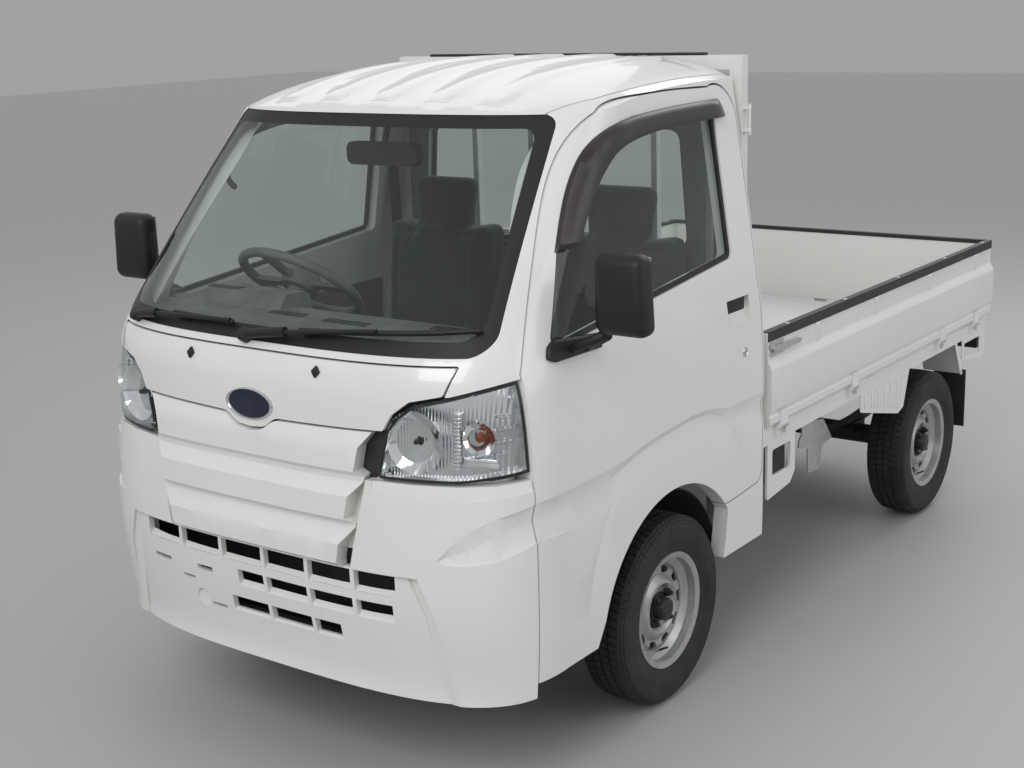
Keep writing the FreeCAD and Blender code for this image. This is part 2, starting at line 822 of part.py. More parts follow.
def nose_frame():
    outer = bumper_wall + seat_gap
    inner = cab_wall - seat_gap
    sheet = cab_solid(outer).cut(cab_solid(inner))
    sheet = sheet.common(block(-665, 665, nose_y - 50, nose_y + 250, 330, 1034))
    lamp = along(lamp_outline(seat_gap), "y", nose_y - 50, door_front_y)
    sheet = sheet.cut(lamp).cut(mirrored(lamp))
    sheet = sheet.cut(block(-462, 462, nose_y - 50, nose_y + 250, 376, 640))
    sheet = sheet.cut(block(-360, 360, nose_y - 50, nose_y + 250, 948, 1050))
    for x in (-lid_peg_x, lid_peg_x):
        bush = rod((x, nose_y_at(x, lid_peg_z) + 30, lid_peg_z), (x, lid_bush_end, lid_peg_z), lid_bush_radius)
        sheet = sheet.fuse(bush).cut(rod((x, nose_y, lid_peg_z), (x, 0, lid_peg_z), 5.05))
    export("nose_frame", max(sheet.Solids, key=lambda s: s.Volume))


def headlamps():
    zone = along(lamp_outline(-2), "y", nose_y - 50, door_front_y - seam_gap)
    lens = cab_solid(5).cut(cab_solid(8)).common(zone)
    body = cab_solid(8 + seat_gap).cut(cab_solid(cab_wall - seat_gap)).common(zone)
    bowl = rod((492, nose_y - 20, 928), (492, nose_y + 110, 928), 72)
    body = body.cut(bowl)
    lens = max(lens.Solids, key=lambda s: s.Volume)
    body = max(body.Solids, key=lambda s: s.Volume)
    export("headlamp_lenses", lens, mirrored(lens))
    export("headlamp_housings", body, mirrored(body))


# Doors


def doors():
    door = creased_cab().common(extrude_side(door_outline(0), 380, 900))
    pocket = block(690, 760, -482, -350, 1022, 1086).cut(cab_solid(16))
    door = door.cut([cab_solid(cab_wall, roof_wall, -60), arch_cutter(), window_prism(0, 380, 900), pocket])
    door = max(door.Solids, key=lambda s: s.Volume)
    export("door_left", door)
    export("door_right", mirrored(door))

    pane = cab_solid(14).cut(cab_solid(18)).common(window_prism(-seat_gap, 380, 900))
    pane = max(pane.Solids, key=lambda s: s.Volume)
    export("door_glass_left", pane)
    export("door_glass_right", mirrored(pane))

    visor_zone = [
        (nose_y + 455, 1338),
        (nose_y + 574, 1514),
        (nose_y + 690, 1608),
        (nose_y + 860, 1648),
        (-372, 1656),
        (-352, 1600),
        (-372, 1584),
        (nose_y + 900, 1577),
        (nose_y + 750, 1550),
        (nose_y + 628, 1447),
        (nose_y + 522, 1338),
    ]
    visor_line = rounded(visor_zone, [4, 120, 120, 60, 20, 20, 8, 60, 90, 90, 4])
    visor_prism = along(visor_line, "x", 380, 900)
    lip_line = rounded(
        [(y, z) for y, z in visor_zone[:5]] + [(-378, 1646), (nose_y + 862, 1638), (nose_y + 696, 1598), (nose_y + 582, 1506), (nose_y + 464, 1334)],
        [1, 100, 100, 60, 1, 1, 60, 90, 90, 1],
    )
    lip = cab_solid(-20).cut(cab_solid(-seat_gap)).common(along(lip_line, "x", 380, 900))
    visor = cab_solid(-20).cut(cab_solid(-17)).common(visor_prism)
    visor = fuse(max(visor.Solids, key=lambda s: s.Volume), max(lip.Solids, key=lambda s: s.Volume))

    base_line = rounded(
        [(nose_y + 334, 1098), (nose_y + 556, 1086), (nose_y + 556, 1124), (nose_y + 360, 1146)], [24, 6, 6, 12]
    )
    base = cab_solid(-12).cut(cab_solid(-seat_gap)).common(along(base_line, "x", 600, 900))
    base = max(base.Solids, key=lambda s: s.Volume)
    arm = fuse(rod((718, nose_y + 500, 1106), (800, nose_y + 452, 1150), 15), rod((718, nose_y + 430, 1112), (800, nose_y + 440, 1150), 12))
    arm = fuse(arm, rod((800, nose_y + 446, 1150), (800, nose_y + 446, 1330), 13)).cut(cab_solid(-2))
    head = along(rounded([(790, 1162), (915, 1152), (934, 1200), (926, 1346), (796, 1352)], [24, 34, 40, 34, 24]), "y", nose_y + 405, nose_y + 480)
    glass_recess = along(rounded([(800, 1172), (908, 1164), (922, 1204), (916, 1336), (806, 1342)], [20, 28, 34, 28, 20]), "y", nose_y + 474, nose_y + 481)
    mirror = fuse(base, arm, head.cut(glass_recess))
    mirror = max(mirror.Solids, key=lambda s: s.Volume)
    grip = cab_solid(3).cut(cab_solid(16 - seat_gap)).common(block(690, 760, -480, -352, 1046, 1084.5))
    grip = max(grip.Solids, key=lambda s: s.Volume)
    export("door_fittings_left", visor, mirror, grip)
    export("door_fittings_right", mirrored(visor), mirrored(mirror), mirrored(grip))


# Inside the cab


def cab_inside():
    t = floor_sheet
    back_y = cab_rear_y - cab_wall - seat_gap
    profile = [
        (firewall_y - 40, 880),
        (firewall_y, foot_floor_z - t),
        (deck_riser_y, foot_floor_z - t),
        (deck_riser_y + t, seat_deck_z - t),
        (back_y, seat_deck_z - t),
        (back_y, seat_deck_z),
        (deck_riser_y, seat_deck_z),
        (deck_riser_y - t, foot_floor_z),
        (firewall_y + t, foot_floor_z),
        (firewall_y - 40 + t, 880),
    ]
    w = cab_inner_half_width
    flange = block(-900, 900, back_y - 40, back_y, seat_deck_z - t, seat_deck_z)
    sides = [block(low, high, nose_y, -1300, 0, seat_deck_z * 2) for low, high in ((-900, -door_swing_x), (door_swing_x, 900))]
    floor = prism_x(profile, -w, w).fuse(flange).common(cab_solid(cab_wall + seat_gap)).cut(sides)
    export("cab_floor", max(floor.Solids, key=lambda s: s.Volume))

    dash_profile = [
        (firewall_y - 90, 880 + seat_gap),
        (firewall_y - 90, 1092),
        (firewall_y + 20, 1124),
        (firewall_y + 200, 1140),
        (firewall_y + 286, 1104),
        (firewall_y + 300, 1010),
        (firewall_y + 210, 890),
        (firewall_y + 60, 880 + seat_gap),
    ]
    dash_line = rounded(dash_profile, [0, 0, 40, 40, 40, 40, 40, 0])
    dash = along(dash_line, "x", -door_swing_x, door_swing_x).common(cab_solid(cab_wall))
    w = dash_front_half_width
    dash = dash.cut([block(low, high, nose_y - 50, dash_front_end_y, 800, 1300) for low, high in ((-900, -w), (w, 900))])
    hood_line = rounded([(firewall_y + 120, 1100), (firewall_y + 276, 1100), (firewall_y + 268, 1170), (firewall_y + 176, 1176)], [0, 0, 16, 30])
    hood = along(hood_line, "x", steering_wheel_x - 150, steering_wheel_x + 150)
    wells = [rod((x, nose_y, lid_peg_z), (x, lid_peg_end + 12, lid_peg_z), lid_bush_radius + 6) for x in (-lid_peg_x, lid_peg_x)]
    dash = max(dash.fuse(hood).cut(wells).Solids, key=lambda s: s.Volume)
    wheel_axis = V(0, math.cos(math.radians(52)), math.sin(math.radians(52)))
    hub = V(steering_wheel_x, firewall_y + 390, 1160)
    column_start = hub - wheel_axis * 250
    column = Part.makeCylinder(30, 228 - seat_gap, column_start, wheel_axis)
    export("dashboard", fuse(dash, column))

    rim = Part.makeTorus(178, 14, V(0, 0, 0), V(0, 0, 1))
    boss = Part.makeCylinder(52, 34, V(0, 0, -22))
    wheel = fuse(rim, boss)
    for angle in (0, 180, 270):
        spoke = block(40, 172, -15, 15, -10, 4)
        spoke.rotate(V(0, 0, 0), V(0, 0, 1), angle)
        wheel = wheel.fuse(spoke)
    wheel = wheel.removeSplitter()
    wheel.rotate(V(0, 0, 0), V(1, 0, 0), -38)
    wheel.translate(hub)
    export("steering_wheel", wheel)

    seats = []
    for x in (-330, 330):
        cushion = block(x - 240, x + 240, -1010, -556, seat_deck_z + seat_gap, seat_deck_z + 120)
        cushion = cushion.makeFillet(30, [e for e in cushion.Edges if e.CenterOfMass.z > seat_deck_z + 50])
        back_line = rounded(
            [(-550, seat_deck_z + seat_gap), (-410, seat_deck_z + seat_gap), (-352, 1420), (-440, 1420), (-500, 1100)],
            [0, 0, 36, 40, 200],
        )
        back = along(back_line, "x", x - 235, x + 235)
        shoulders = rounded(
            [(x - 236, 600), (x + 236, 600), (x + 232, 1190), (x + 142, 1262), (x + 122, 1440), (x - 122, 1440), (x - 142, 1262), (x - 232, 1190)],
            [0, 0, 60, 40, 50, 50, 40, 60],
        )
        back = back.common(along(shoulders, "y", -700, -300))
        seats += [cushion, back]
    export("seats", *seats)

    head = along(rounded([(-124, 1509), (124, 1509), (124, 1571), (-124, 1571)], [22] * 4), "y", nose_y + 588, nose_y + 614)
    stalk = rod((0, nose_y + 604, 1560), (0, nose_y + 660, 1700), 9).common(cab_solid(cab_wall, roof_wall + seat_gap))
    export("interior_mirror", fuse(head, stalk))


def wipers():
    solids = []
    for pivot, elbow, heel, tip in (
        ((-497, 1126), (-390, 1140), (-330, 1154), (128, 1152)),
        ((-34, 1126), (100, 1142), (136, 1154), (600, 1176)),
    ):
        base = on_cab(*pivot, -6)
        post = rod(base, on_cab(*pivot, 24), 12)
        joint = on_cab(*elbow, 24)
        middle = on_cab((heel[0] + tip[0]) / 2, (heel[1] + tip[1]) / 2, 20)
        arm = fuse(post, rod(on_cab(*pivot, 18), joint, 7), rod(joint, middle, 6))
        steps = [
            on_cab(heel[0] + (tip[0] - heel[0]) * i / 6, heel[1] + (tip[1] - heel[1]) * i / 6, 12) for i in range(7)
        ]
        for a, b in zip(steps, steps[1:]):
            arm = arm.fuse(rod(a, b, 7)).fuse(Part.makeSphere(7, V(*b)))
        solids.append(arm.removeSplitter())
    clear = cab_solid(-0.3)
    solids = [max(solid.cut(clear).Solids, key=lambda s: s.Volume) for solid in solids]
    export("wipers", *solids)


# Wheels


def rim_profile():
    """Half section of the wheel: (x outboard, radius)."""
    w = rim_half_width
    t = rim_sheet
    outer = [
        (-w - 3, rim_flange_radius),
        (-w + 2, rim_seat_radius),
        (-w + 22, rim_seat_radius - 1),
        (-w + 32, rim_well_radius),
        (w - 36, rim_well_radius),
        (w - 24, rim_seat_radius - 1),
        (w - 2, rim_seat_radius),
        (w + 3, rim_flange_radius),
    ]
    inner = [
        (w + 3 + t, rim_flange_radius - 1),
        (w + 2, rim_seat_radius - t),
        (w - 21, rim_seat_radius - t - 2),
        (w - 34, rim_well_radius - t),
        (w - 40, rim_well_radius - t - 2),
        (w - 30, 112),
        (w - 34, 96),
        (w - 20, 80),
        (w - 18, 72),
        (w - 32, 58),
        (w - 33, hub_radius + 12),
        (w - 34, hub_radius),
        (w - 4, hub_radius - 2),
        (w - 2, hub_radius - 8),
        (w - 2, 0),
    ]
    back = [
        (-6, 0),
        (-6, hub_radius),
        (w - 42, hub_radius),
        (w - 42, 60),
        (w - 28, 74),
        (w - 42, 93),
        (w - 38, 112),
        (w - 48, rim_well_radius - t - 1),
        (-w + 30, rim_well_radius - t),
        (-w + 20, rim_seat_radius - t - 2),
        (-w - 2, rim_seat_radius - t),
        (-w - 3 - t, rim_flange_radius - 1),
    ]
    return outer + inner + back


def wheel_rim():
    """The left wheel at the origin, outboard along +X."""
    points = rim_profile()
    face = Part.Face(wire([(x, 0, r) for x, r in points]))
    rim = face.revolve(V(0, 0, 0), V(1, 0, 0), 360)
    for i in range(vent_hole_count):
        turn = 2 * math.pi * i / vent_hole_count
        slot = rounded(
            [
                (-vent_hole_radius, -vent_hole_radius - vent_hole_stretch),
                (vent_hole_radius, -vent_hole_radius - vent_hole_stretch),
                (vent_hole_radius, vent_hole_radius + vent_hole_stretch),
                (-vent_hole_radius, vent_hole_radius + vent_hole_stretch),
            ],
            [vent_hole_radius - 0.1] * 4,
        )
        slot.translate(V(vent_hole_circle, 0, 0))
        slot = along(slot, "x", 0, 80)
        slot.rotate(V(0, 0, 0), V(1, 0, 0), math.degrees(turn))
        rim = rim.cut(slot)
    for i in range(stud_count):
        turn = 2 * math.pi * (i + 0.5) / stud_count
        y = stud_circle * math.cos(turn)
        z = stud_circle * math.sin(turn)
        nut = prism_x([(y + 11 * math.cos(k * math.pi / 3), z + 11 * math.sin(k * math.pi / 3)) for k in range(6)], rim_half_width - 36, rim_half_width - 16)
        rim = rim.fuse(nut)
    bore = rod((-8, 0, 0), (rim_half_width - 24, 0, 0), spindle_radius + spindle_clearance)
    return rim.cut(bore).removeSplitter()


def tyre_solid():
    w = tyre_width / 2
    r = tyre_radius
    bead = rim_seat_radius + seat_gap
    side = rim_half_width - 3
    points_out = [(58, 166), (w - 5, bead + 36), (w, bead + 62), (w - 5, r - 22), (w - 17, r - 5)]
    lip_right = Part.makeLine(V(side, 0, bead), V(58, 0, 166))
    lip_left = Part.makeLine(V(-58, 0, 166), V(-side, 0, bead))
    out_right = spline([(x, 0, z) for x, z in points_out])
    crown = Part.Arc(V(w - 17, 0, r - 5), V(0, 0, r), V(-w + 17, 0, r - 5)).toShape()
    out_left = spline([(-x, 0, z) for x, z in reversed(points_out)])
    t = tyre_wall
    points_in = [(side - 14, bead), (w - 4 - t, bead + 34), (w - t, bead + 60), (w - 12 - t, r - 24), (w - 30, r - 16)]
    in_left = spline([(-x, 0, z) for x, z in points_in])
    roof = Part.makeLine(V(-w + 30, 0, r - 16), V(w - 30, 0, r - 16))
    in_right = spline([(x, 0, z) for x, z in reversed(points_in)])
    foot_left = Part.makeLine(V(-side, 0, bead), V(-side + 14, 0, bead))
    foot_right = Part.makeLine(V(side - 14, 0, bead), V(side, 0, bead))
    outline = Part.Wire([lip_right, out_right, crown, out_left, lip_left, foot_left, in_left, roof, in_right, foot_right])
    tyre = Part.Face(outline).revolve(V(0, 0, 0), V(1, 0, 0), 360)
    for x in (-24, 0, 24):
        ring = Part.Face(wire([(x - 3, 0, r - 7), (x + 3, 0, r - 7), (x + 3, 0, r + 4), (x - 3, 0, r + 4)]))
        tyre = tyre.cut(ring.revolve(V(0, 0, 0), V(1, 0, 0), 360))
    return tyre


def wheels():
    rim = wheel_rim()
    tyre = tyre_solid()
    for place, y in (("front", front_axle_y), ("rear", rear_axle_y)):
        for side in ("left", "right"):
            for kind, solid in (("rim", rim), ("tyre", tyre)):
                piece = solid.copy()
                piece.translate(V(wheel_x, y, axle_z))
                if side == "right":
                    piece = mirrored(piece)
                export(f"{kind}_{place}_{side}", piece)


# Front running gear


def front_gear():
    y = front_axle_y
    spindle = rod((wheel_steer_x - 6, y, axle_z), (wheel_x + rim_half_width - 25, y, axle_z), spindle_radius)
    upright = prism_y(
        [(wheel_steer_x - 22, 150), (wheel_steer_x + 18, 150), (600, 210), (612, axle_z), (600, 330), (wheel_steer_x + 16, 400), (wheel_steer_x - 16, 400), (wheel_steer_x - 22, 330)],
        y - 26,
        y + 26,
    )
    disc = rod((622, y, axle_z), (634, y, axle_z), 112)
    carrier = rod((606, y, axle_z), (623, y, axle_z), 44)
    tube = rod((wheel_steer_x, y, 380), (wheel_steer_x, y, 600), 16)
    rod_top = rod((wheel_steer_x, y, 600), (wheel_steer_x, y, seat_deck_z - floor_sheet - seat_gap), 10)
    spring = Part.makeCylinder(46, 8, V(wheel_steer_x, y, 560))
    coil = Part.makeCylinder(40, 70, V(wheel_steer_x, y, 566)).cut(Part.makeCylinder(30, 72, V(wheel_steer_x, y, 565)))
    cap = Part.makeCylinder(46, 13, V(wheel_steer_x, y, seat_deck_z - floor_sheet - seat_gap - 13))
    arm = block(wheel_steer_x - 20, wheel_steer_x + 14, y + 20, y + 124, 225, 237)
    stud = rod((wheel_steer_x, y, 118), (wheel_steer_x, y, 155), 9)
    knuckle = fuse(upright, carrier, disc, spindle, tube, rod_top, spring, coil, cap, arm, stud)
    export("knuckle_left", knuckle)
    export("knuckle_right", mirrored(knuckle))

    rail_x = rail_inner_x + rail_width
    arm_outline = [(rail_x + seat_gap, y - 120), (rail_x + seat_gap, y + 60), (wheel_steer_x + 22, y + 24), (wheel_steer_x + 22, y - 24)]
    lower_arm = prism_z(arm_outline, 118, 140)
    lower_arm = fuse(lower_arm, block(rail_x + seat_gap, rail_x + 22, y - 120, y + 60, 118, rail_front_z + 30))
    lower_arm = lower_arm.cut(rod((wheel_steer_x, y, 100), (wheel_steer_x, y, 160), 9.05))
    rack_y = y + 110
    housing = rod((-350, rack_y, 218), (350, rack_y, 218), 24)
    hangers = [block(x - 18, x + 18, rack_y - 20, rack_y + 20, 218, rail_front_z) for x in (-325, 325)]
    housing = fuse(housing, *hangers).cut(rod((-360, rack_y, 218), (360, rack_y, 218), 10.1))
    export("front_suspension", lower_arm, mirrored(lower_arm), housing)

    bar = rod((-500, rack_y, 218), (500, rack_y, 218), 10)
    ends = [prism_z([(s * 490, rack_y - 12), (s * 575, rack_y - 12), (s * 575, rack_y + 12), (s * 490, rack_y + 12)], 208, 222) for s in (-1, 1)]
    export("tie_rods", fuse(bar, *ends))


# Chassis


def chassis():
    z0 = rail_front_z
    z1 = rail_rear_z
    h = rail_height
    rear_end = tail_y - 62
    profile = [
        (nose_y + 130, z0),
        (-470, z0),
        (-250, z1),
        (rear_end, z1),
        (rear_end, z1 + h),
        (-280, z1 + h),
        (-500, z0 + h),
        (nose_y + 130, z0 + h),
    ]
    x0 = rail_inner_x
    x1 = rail_inner_x + rail_width
    spring_x = x1 + 60
    leaf_reach = 480
    parts = [prism_x(profile, x0, x1), prism_x(profile, -x1, -x0)]
    for y, z in (
        (nose_y + 140, z0),
        (-1210, z0),
        (-200, z1),
        (330, z1),
        (760, z1),
        (1330, z1),
        (rear_end - 46, z1),
    ):
        parts.append(block(-x0, x0, y, y + 45, z + 8, z + h - 8))
    for s in (-1, 1):
        for y in (rear_axle_y - leaf_reach, rear_axle_y + leaf_reach):
            low, high = sorted((s * (x1 - 4), s * (spring_x + 26)))
            parts.append(block(low, high, y - 22, y + 22, 418 + seat_gap, 500))
        low, high = sorted((s * x0, s * x1))
        horn = block(low, high, nose_y, nose_y + 140, z0 + 20, z0 + 70)
        parts.append(horn.common(cab_solid(cab_wall)))
    export("ladder_frame", fuse(*parts))

    engine = block(-230, 230, -1020, -560, 250, 612)
    export("engine_block", engine)
    mounts = [block(s * 300 if s < 0 else 230, 300 if s > 0 else -230, -800, -740, 300, 350) for s in (-1, 1)]
    shaft = rod((0, -557, 400), (0, rear_axle_y - 73, 282), 30)
    export("propeller_shaft", shaft)
    flap_y = wheelhouse_rear[1][0] + 3 + seat_gap
    flap = block(600, 728, flap_y, flap_y + 4, 250, wheelhouse_rear[1][1] + 16)
    export("rubber_parts", *mounts, flap, mirrored(flap))

    half = wheel_x + rim_half_width - 25
    axle = rod((-wheel_x + 40, rear_axle_y, axle_z), (wheel_x - 40, rear_axle_y, axle_z), 36)
    spindles = rod((-half, rear_axle_y, axle_z), (half, rear_axle_y, axle_z), spindle_radius)
    casing = Part.makeCylinder(112, 140, V(0, rear_axle_y - 70, axle_z), V(0, 1, 0))
    casing = casing.makeFillet(26, [e for e in casing.Edges if e.Closed and len(e.Vertexes) == 1 and abs(e.Length - 2 * math.pi * 112) < 1])
    drums = [rod((s * 600, rear_axle_y, axle_z), (s * 634, rear_axle_y, axle_z), 110) for s in (-1, 1)]
    axle = fuse(axle, spindles, casing, *drums)
    for s in (-1, 1):
        x = s * spring_x
        leaf = Part.Arc(
            V(x - 25, rear_axle_y - leaf_reach, 400),
            V(x - 25, rear_axle_y, 306),
            V(x - 25, rear_axle_y + leaf_reach, 400),
        ).toShape()
        band = leaf.extrude(V(50, 0, 0)).extrude(V(0, 0, 18))
        pad = block(x - 32, x + 32, rear_axle_y - 50, rear_axle_y + 50, 280, 318)
        axle = axle.fuse(band).fuse(pad)
    export("rear_axle", axle.removeSplitter())

    tank_line = rounded([(362, 340), (540, 340), (540, 520), (362, 520)], [30] * 4)
    tank = along(tank_line, "y", -20, 250)
    straps = [block(x1 - 2, 540, y, y + 30, 520, z1 + h) for y in (30, 190)]
    export("fuel_tank", fuse(tank, *straps).cut(block(0, x1 + seat_gap, -100, 600, 0, 900)))
    pipe = fuse(
        rod((-110, -560 + seat_gap, 330), (-110, 820, 330), 20),
        Part.makeSphere(20, V(-110, 820, 330)),
        rod((-110, 820, 330), (-190, 1540, 400), 20),
        rod((-200, 1560, 350), (-200, rear_end + 30, 350), 18),
        rod((-240, 1560, 360), (240, 1560, 360), 78),
        block(-170, -140, 1592, 1626, 380, z1 + 8 - seat_gap),
        block(140, 170, 1592, 1626, 380, z1 + 8 - seat_gap),
    )
    export("exhaust", pipe)


# Bed and gates


def gate_section(outer):
    """Section of a gate as (across, up); outer is its outside face."""
    waist = outer - gate_waist
    return [
        (outer - gate_inner, gate_bottom_z),
        (outer - gate_inner, gate_top_z),
        (waist, gate_top_z),
        (waist, 866),
        (waist + 2, 860),
        (outer - 2, 842),
        (outer, 834),
        (outer, 716),
        (outer - 2, 708),
        (outer - 9, 700),
        (outer - 9, 692),
        (outer - 5, 688),
        (outer - 5, 668),
        (outer - 14, gate_bottom_z),
    ]


def gate_rib(outer, along_gate):
    """A short upright rib in the gate's upper band, as (across, up) drawn sideways."""
    low = gate_rib_low
    high = gate_top_z - cap_drop - seat_gap
    waist = outer - gate_waist
    face = [(waist - 4, low), (waist + gate_rib_out - 2, low), (waist + gate_rib_out, low + 6)]
    face += [(waist + gate_rib_out, high - 6), (waist + gate_rib_out - 3, high), (waist - 4, high)]
    return prism_y(face, along_gate - gate_rib_width / 2, along_gate + gate_rib_width / 2)


def cap_section(outer):
    gap = seat_gap
    inside = outer - gate_inner - gap
    outside = outer - gate_waist + gap
    t = cap_sheet
    top = gate_top_z + gap
    return [
        (inside - t, top - 12),
        (inside - t, top + t),
        (outside + t, top + t),
        (outside + t, top - cap_drop),
        (outside, top - cap_drop),
        (outside, top),
        (inside, top),
        (inside, top - 12),
    ]


def gate_latch(outer):
    """The lever latch at a side gate's front top corner."""
    face = outer - gate_waist + seat_gap
    start, end = latch_y
    plate = along(rounded([(start, 874), (end, 874), (end, 918), (start, 918)], [6] * 4), "x", face, face + 3)
    lever_line = rounded([(start + 12, 884), (end + 92, 886), (end + 112, 894), (end + 90, 902), (start + 12, 906)], [8, 6, 5, 6, 8])
    lever = along(lever_line, "x", face + 5, face + 12)
    boss = rod((face, start + 34, 895), (face + 13, start + 34, 895), 9)
    hook = block(face + 3, face + 9, start - 4, start + 24, 900, 912)
    keeper = block(face + 3, face + 8, end - 26, end - 8, 880, 908)
    return fuse(plate, lever, boss, hook, keeper)


def gates():
    outer = bed_width / 2 - 0.5
    axis_x = bed_width / 2 - hinge_radius
    gate = prism_y(gate_section(outer), gate_front_y, gate_rear_y)
    half = hinge_length / 2
    for y in side_hinges:
        barrel = rod((axis_x, y - half, hinge_z), (axis_x, y + half, hinge_z), hinge_radius)
        lug = block(axis_x - 7, axis_x + 7, y - half, y + half, hinge_z, 700)
        bore = rod((axis_x, y - 40, hinge_z), (axis_x, y + 40, hinge_z), hinge_pin_radius + hinge_bore_gap)
        gate = gate.fuse(barrel).fuse(lug).cut(bore)
    for y in side_ribs:
        gate = gate.fuse(gate_rib(outer, y))
    gate = gate.removeSplitter()
    export("gate_left", gate)
    export("gate_right", mirrored(gate))
    latch = gate_latch(outer)
    export("gate_latch_left", latch)
    export("gate_latch_right", mirrored(latch))
    cap = prism_y(cap_section(outer), gate_front_y, gate_rear_y)
    export("gate_cap_left", cap)
    export("gate_cap_right", mirrored(cap))

    tail_outer = tail_y - 0.5
    axis_y = tail_y - hinge_radius
    span = bed_width / 2 - 0.5 - gate_inner - seat_gap - cap_sheet - seam_gap
    tail = prism_x(gate_section(tail_outer), -span, span)
    for x in tail_hinges:
        barrel = rod((x - half, axis_y, hinge_z), (x + half, axis_y, hinge_z), hinge_radius)
        lug = block(x - half, x + half, axis_y - 7, axis_y + 7, hinge_z, 700)
        bore = rod((x - 40, axis_y, hinge_z), (x + 40, axis_y, hinge_z), hinge_pin_radius + hinge_bore_gap)
        tail = tail.fuse(barrel).fuse(lug).cut(bore)
    for x in tail_ribs:
        rib = gate_rib(tail_outer, -x)
        rib.rotate(V(0, 0, 0), V(0, 0, 1), 90)
        rib = rib.mirror(V(0, 0, 0), V(1, 0, 0)) if rib.BoundBox.YMax < 0 else rib
        tail = tail.fuse(rib)
    export("tailgate", tail.removeSplitter())
    export("tailgate_cap", prism_x(cap_section(tail_outer), -span, span))


def bed():
    floor_half = bed_width / 2 - side_rail_inset
    rear = tail_y - side_rail_inset
    z = bed_floor_z
    w = side_rail_width
    seat_y = bed_front_y + guard_depth + 4
    seat_z = z - guard_step
    floor = block(-floor_half + w, floor_half - w, seat_y, rear - w, z - bed_floor_sheet, z)
    parts = [floor, block(-floor_half + w, floor_half - w, bed_front_y, seat_y, z - bed_floor_sheet, seat_z)]
    for s in (-1, 1):
        low, high = sorted((s * (floor_half - w), s * floor_half))
        parts.append(block(low, high, bed_front_y, rear, side_rail_bottom_z, side_rail_top_z))
    parts.append(block(-floor_half, floor_half, rear - w, rear, side_rail_bottom_z, side_rail_top_z))
    parts.append(block(-floor_half, floor_half, bed_front_y, bed_front_y + w, side_rail_bottom_z, seat_z))
    under = z - bed_floor_sheet
    for y in (-60, spare_y - 25, 700, 1090, 1440):
        parts.append(block(-floor_half + 4, floor_half - 4, y, y + 50, side_rail_bottom_z, under))
        parts.append(block(-360, 360, y, y + 50, rail_rear_z + rail_height, under))
    x1 = rail_inner_x + rail_width
    for s in (-1, 1):
        low, high = sorted((s * rail_inner_x, s * x1))
        parts.append(block(low, high, -230, rear - w, rail_rear_z + rail_height, rail_rear_z + rail_height + 30))
    half = hinge_length / 2 + hinge_side_gap
    axis_x = bed_width / 2 - hinge_radius
    r = hinge_pin_radius
    for s in (-1, 1):
        for y in side_hinges:
            parts.append(rod((s * axis_x, y - half - 3, hinge_z), (s * axis_x, y + half + 3, hinge_z), r))
            for y0 in (y - half - hinge_ear, y + half):
                low, high = sorted((s * (floor_half - 4), s * axis_x))
                parts.append(block(low, high, y0, y0 + hinge_ear, hinge_z - 30, hinge_z + 7))
                parts.append(rod((s * axis_x, y0, hinge_z), (s * axis_x, y0 + hinge_ear, hinge_z), 7))
    axis_y = tail_y - hinge_radius
    for x in tail_hinges:
        parts.append(rod((x - half - 3, axis_y, hinge_z), (x + half + 3, axis_y, hinge_z), r))
        for x0 in (x - half - hinge_ear, x + half):
            parts.append(block(x0, x0 + hinge_ear, rear - 4, axis_y, hinge_z - 30, hinge_z + 7))
            parts.append(rod((x0, axis_y, hinge_z), (x0 + hinge_ear, axis_y, hinge_z), 7))
    parts.append(rod((-spare_x, spare_y, spare_z - 25), (-spare_x, spare_y, side_rail_bottom_z + 10), spindle_radius))
    export("bed_floor", fuse(*parts))

    y0 = bed_front_y
    y1 = bed_front_y + guard_depth
    g = guard_half_width
    t = guard_tube
    top = guard_top_z
    board_half = bed_width / 2 - 0.5 - gate_inner - seat_gap - cap_sheet - seam_gap
    pieces = [block(-board_half, board_half, y0, y0 + board_sheet, seat_z, gate_top_z)]
    for s in (-1, 1):
        low, high = sorted((s * (g - t), s * g))
        pieces.append(block(low, high, y0, y1, seat_z, top - 4))
    beam = block(-g, g, y0, y1, top - t, top)
    pieces.append(beam)
    for level in (1180, 1600):
        pieces.append(block(-g + 4, g - 4, y0 + 4, y1 - 4, level, level + 24))
    for x in (-340, -115, 115, 340):
        pieces.append(block(x - 10, x + 10, y0 + 6, y1 - 6, gate_top_z - 4, 1604))
    export("bed_guard", fuse(*pieces))


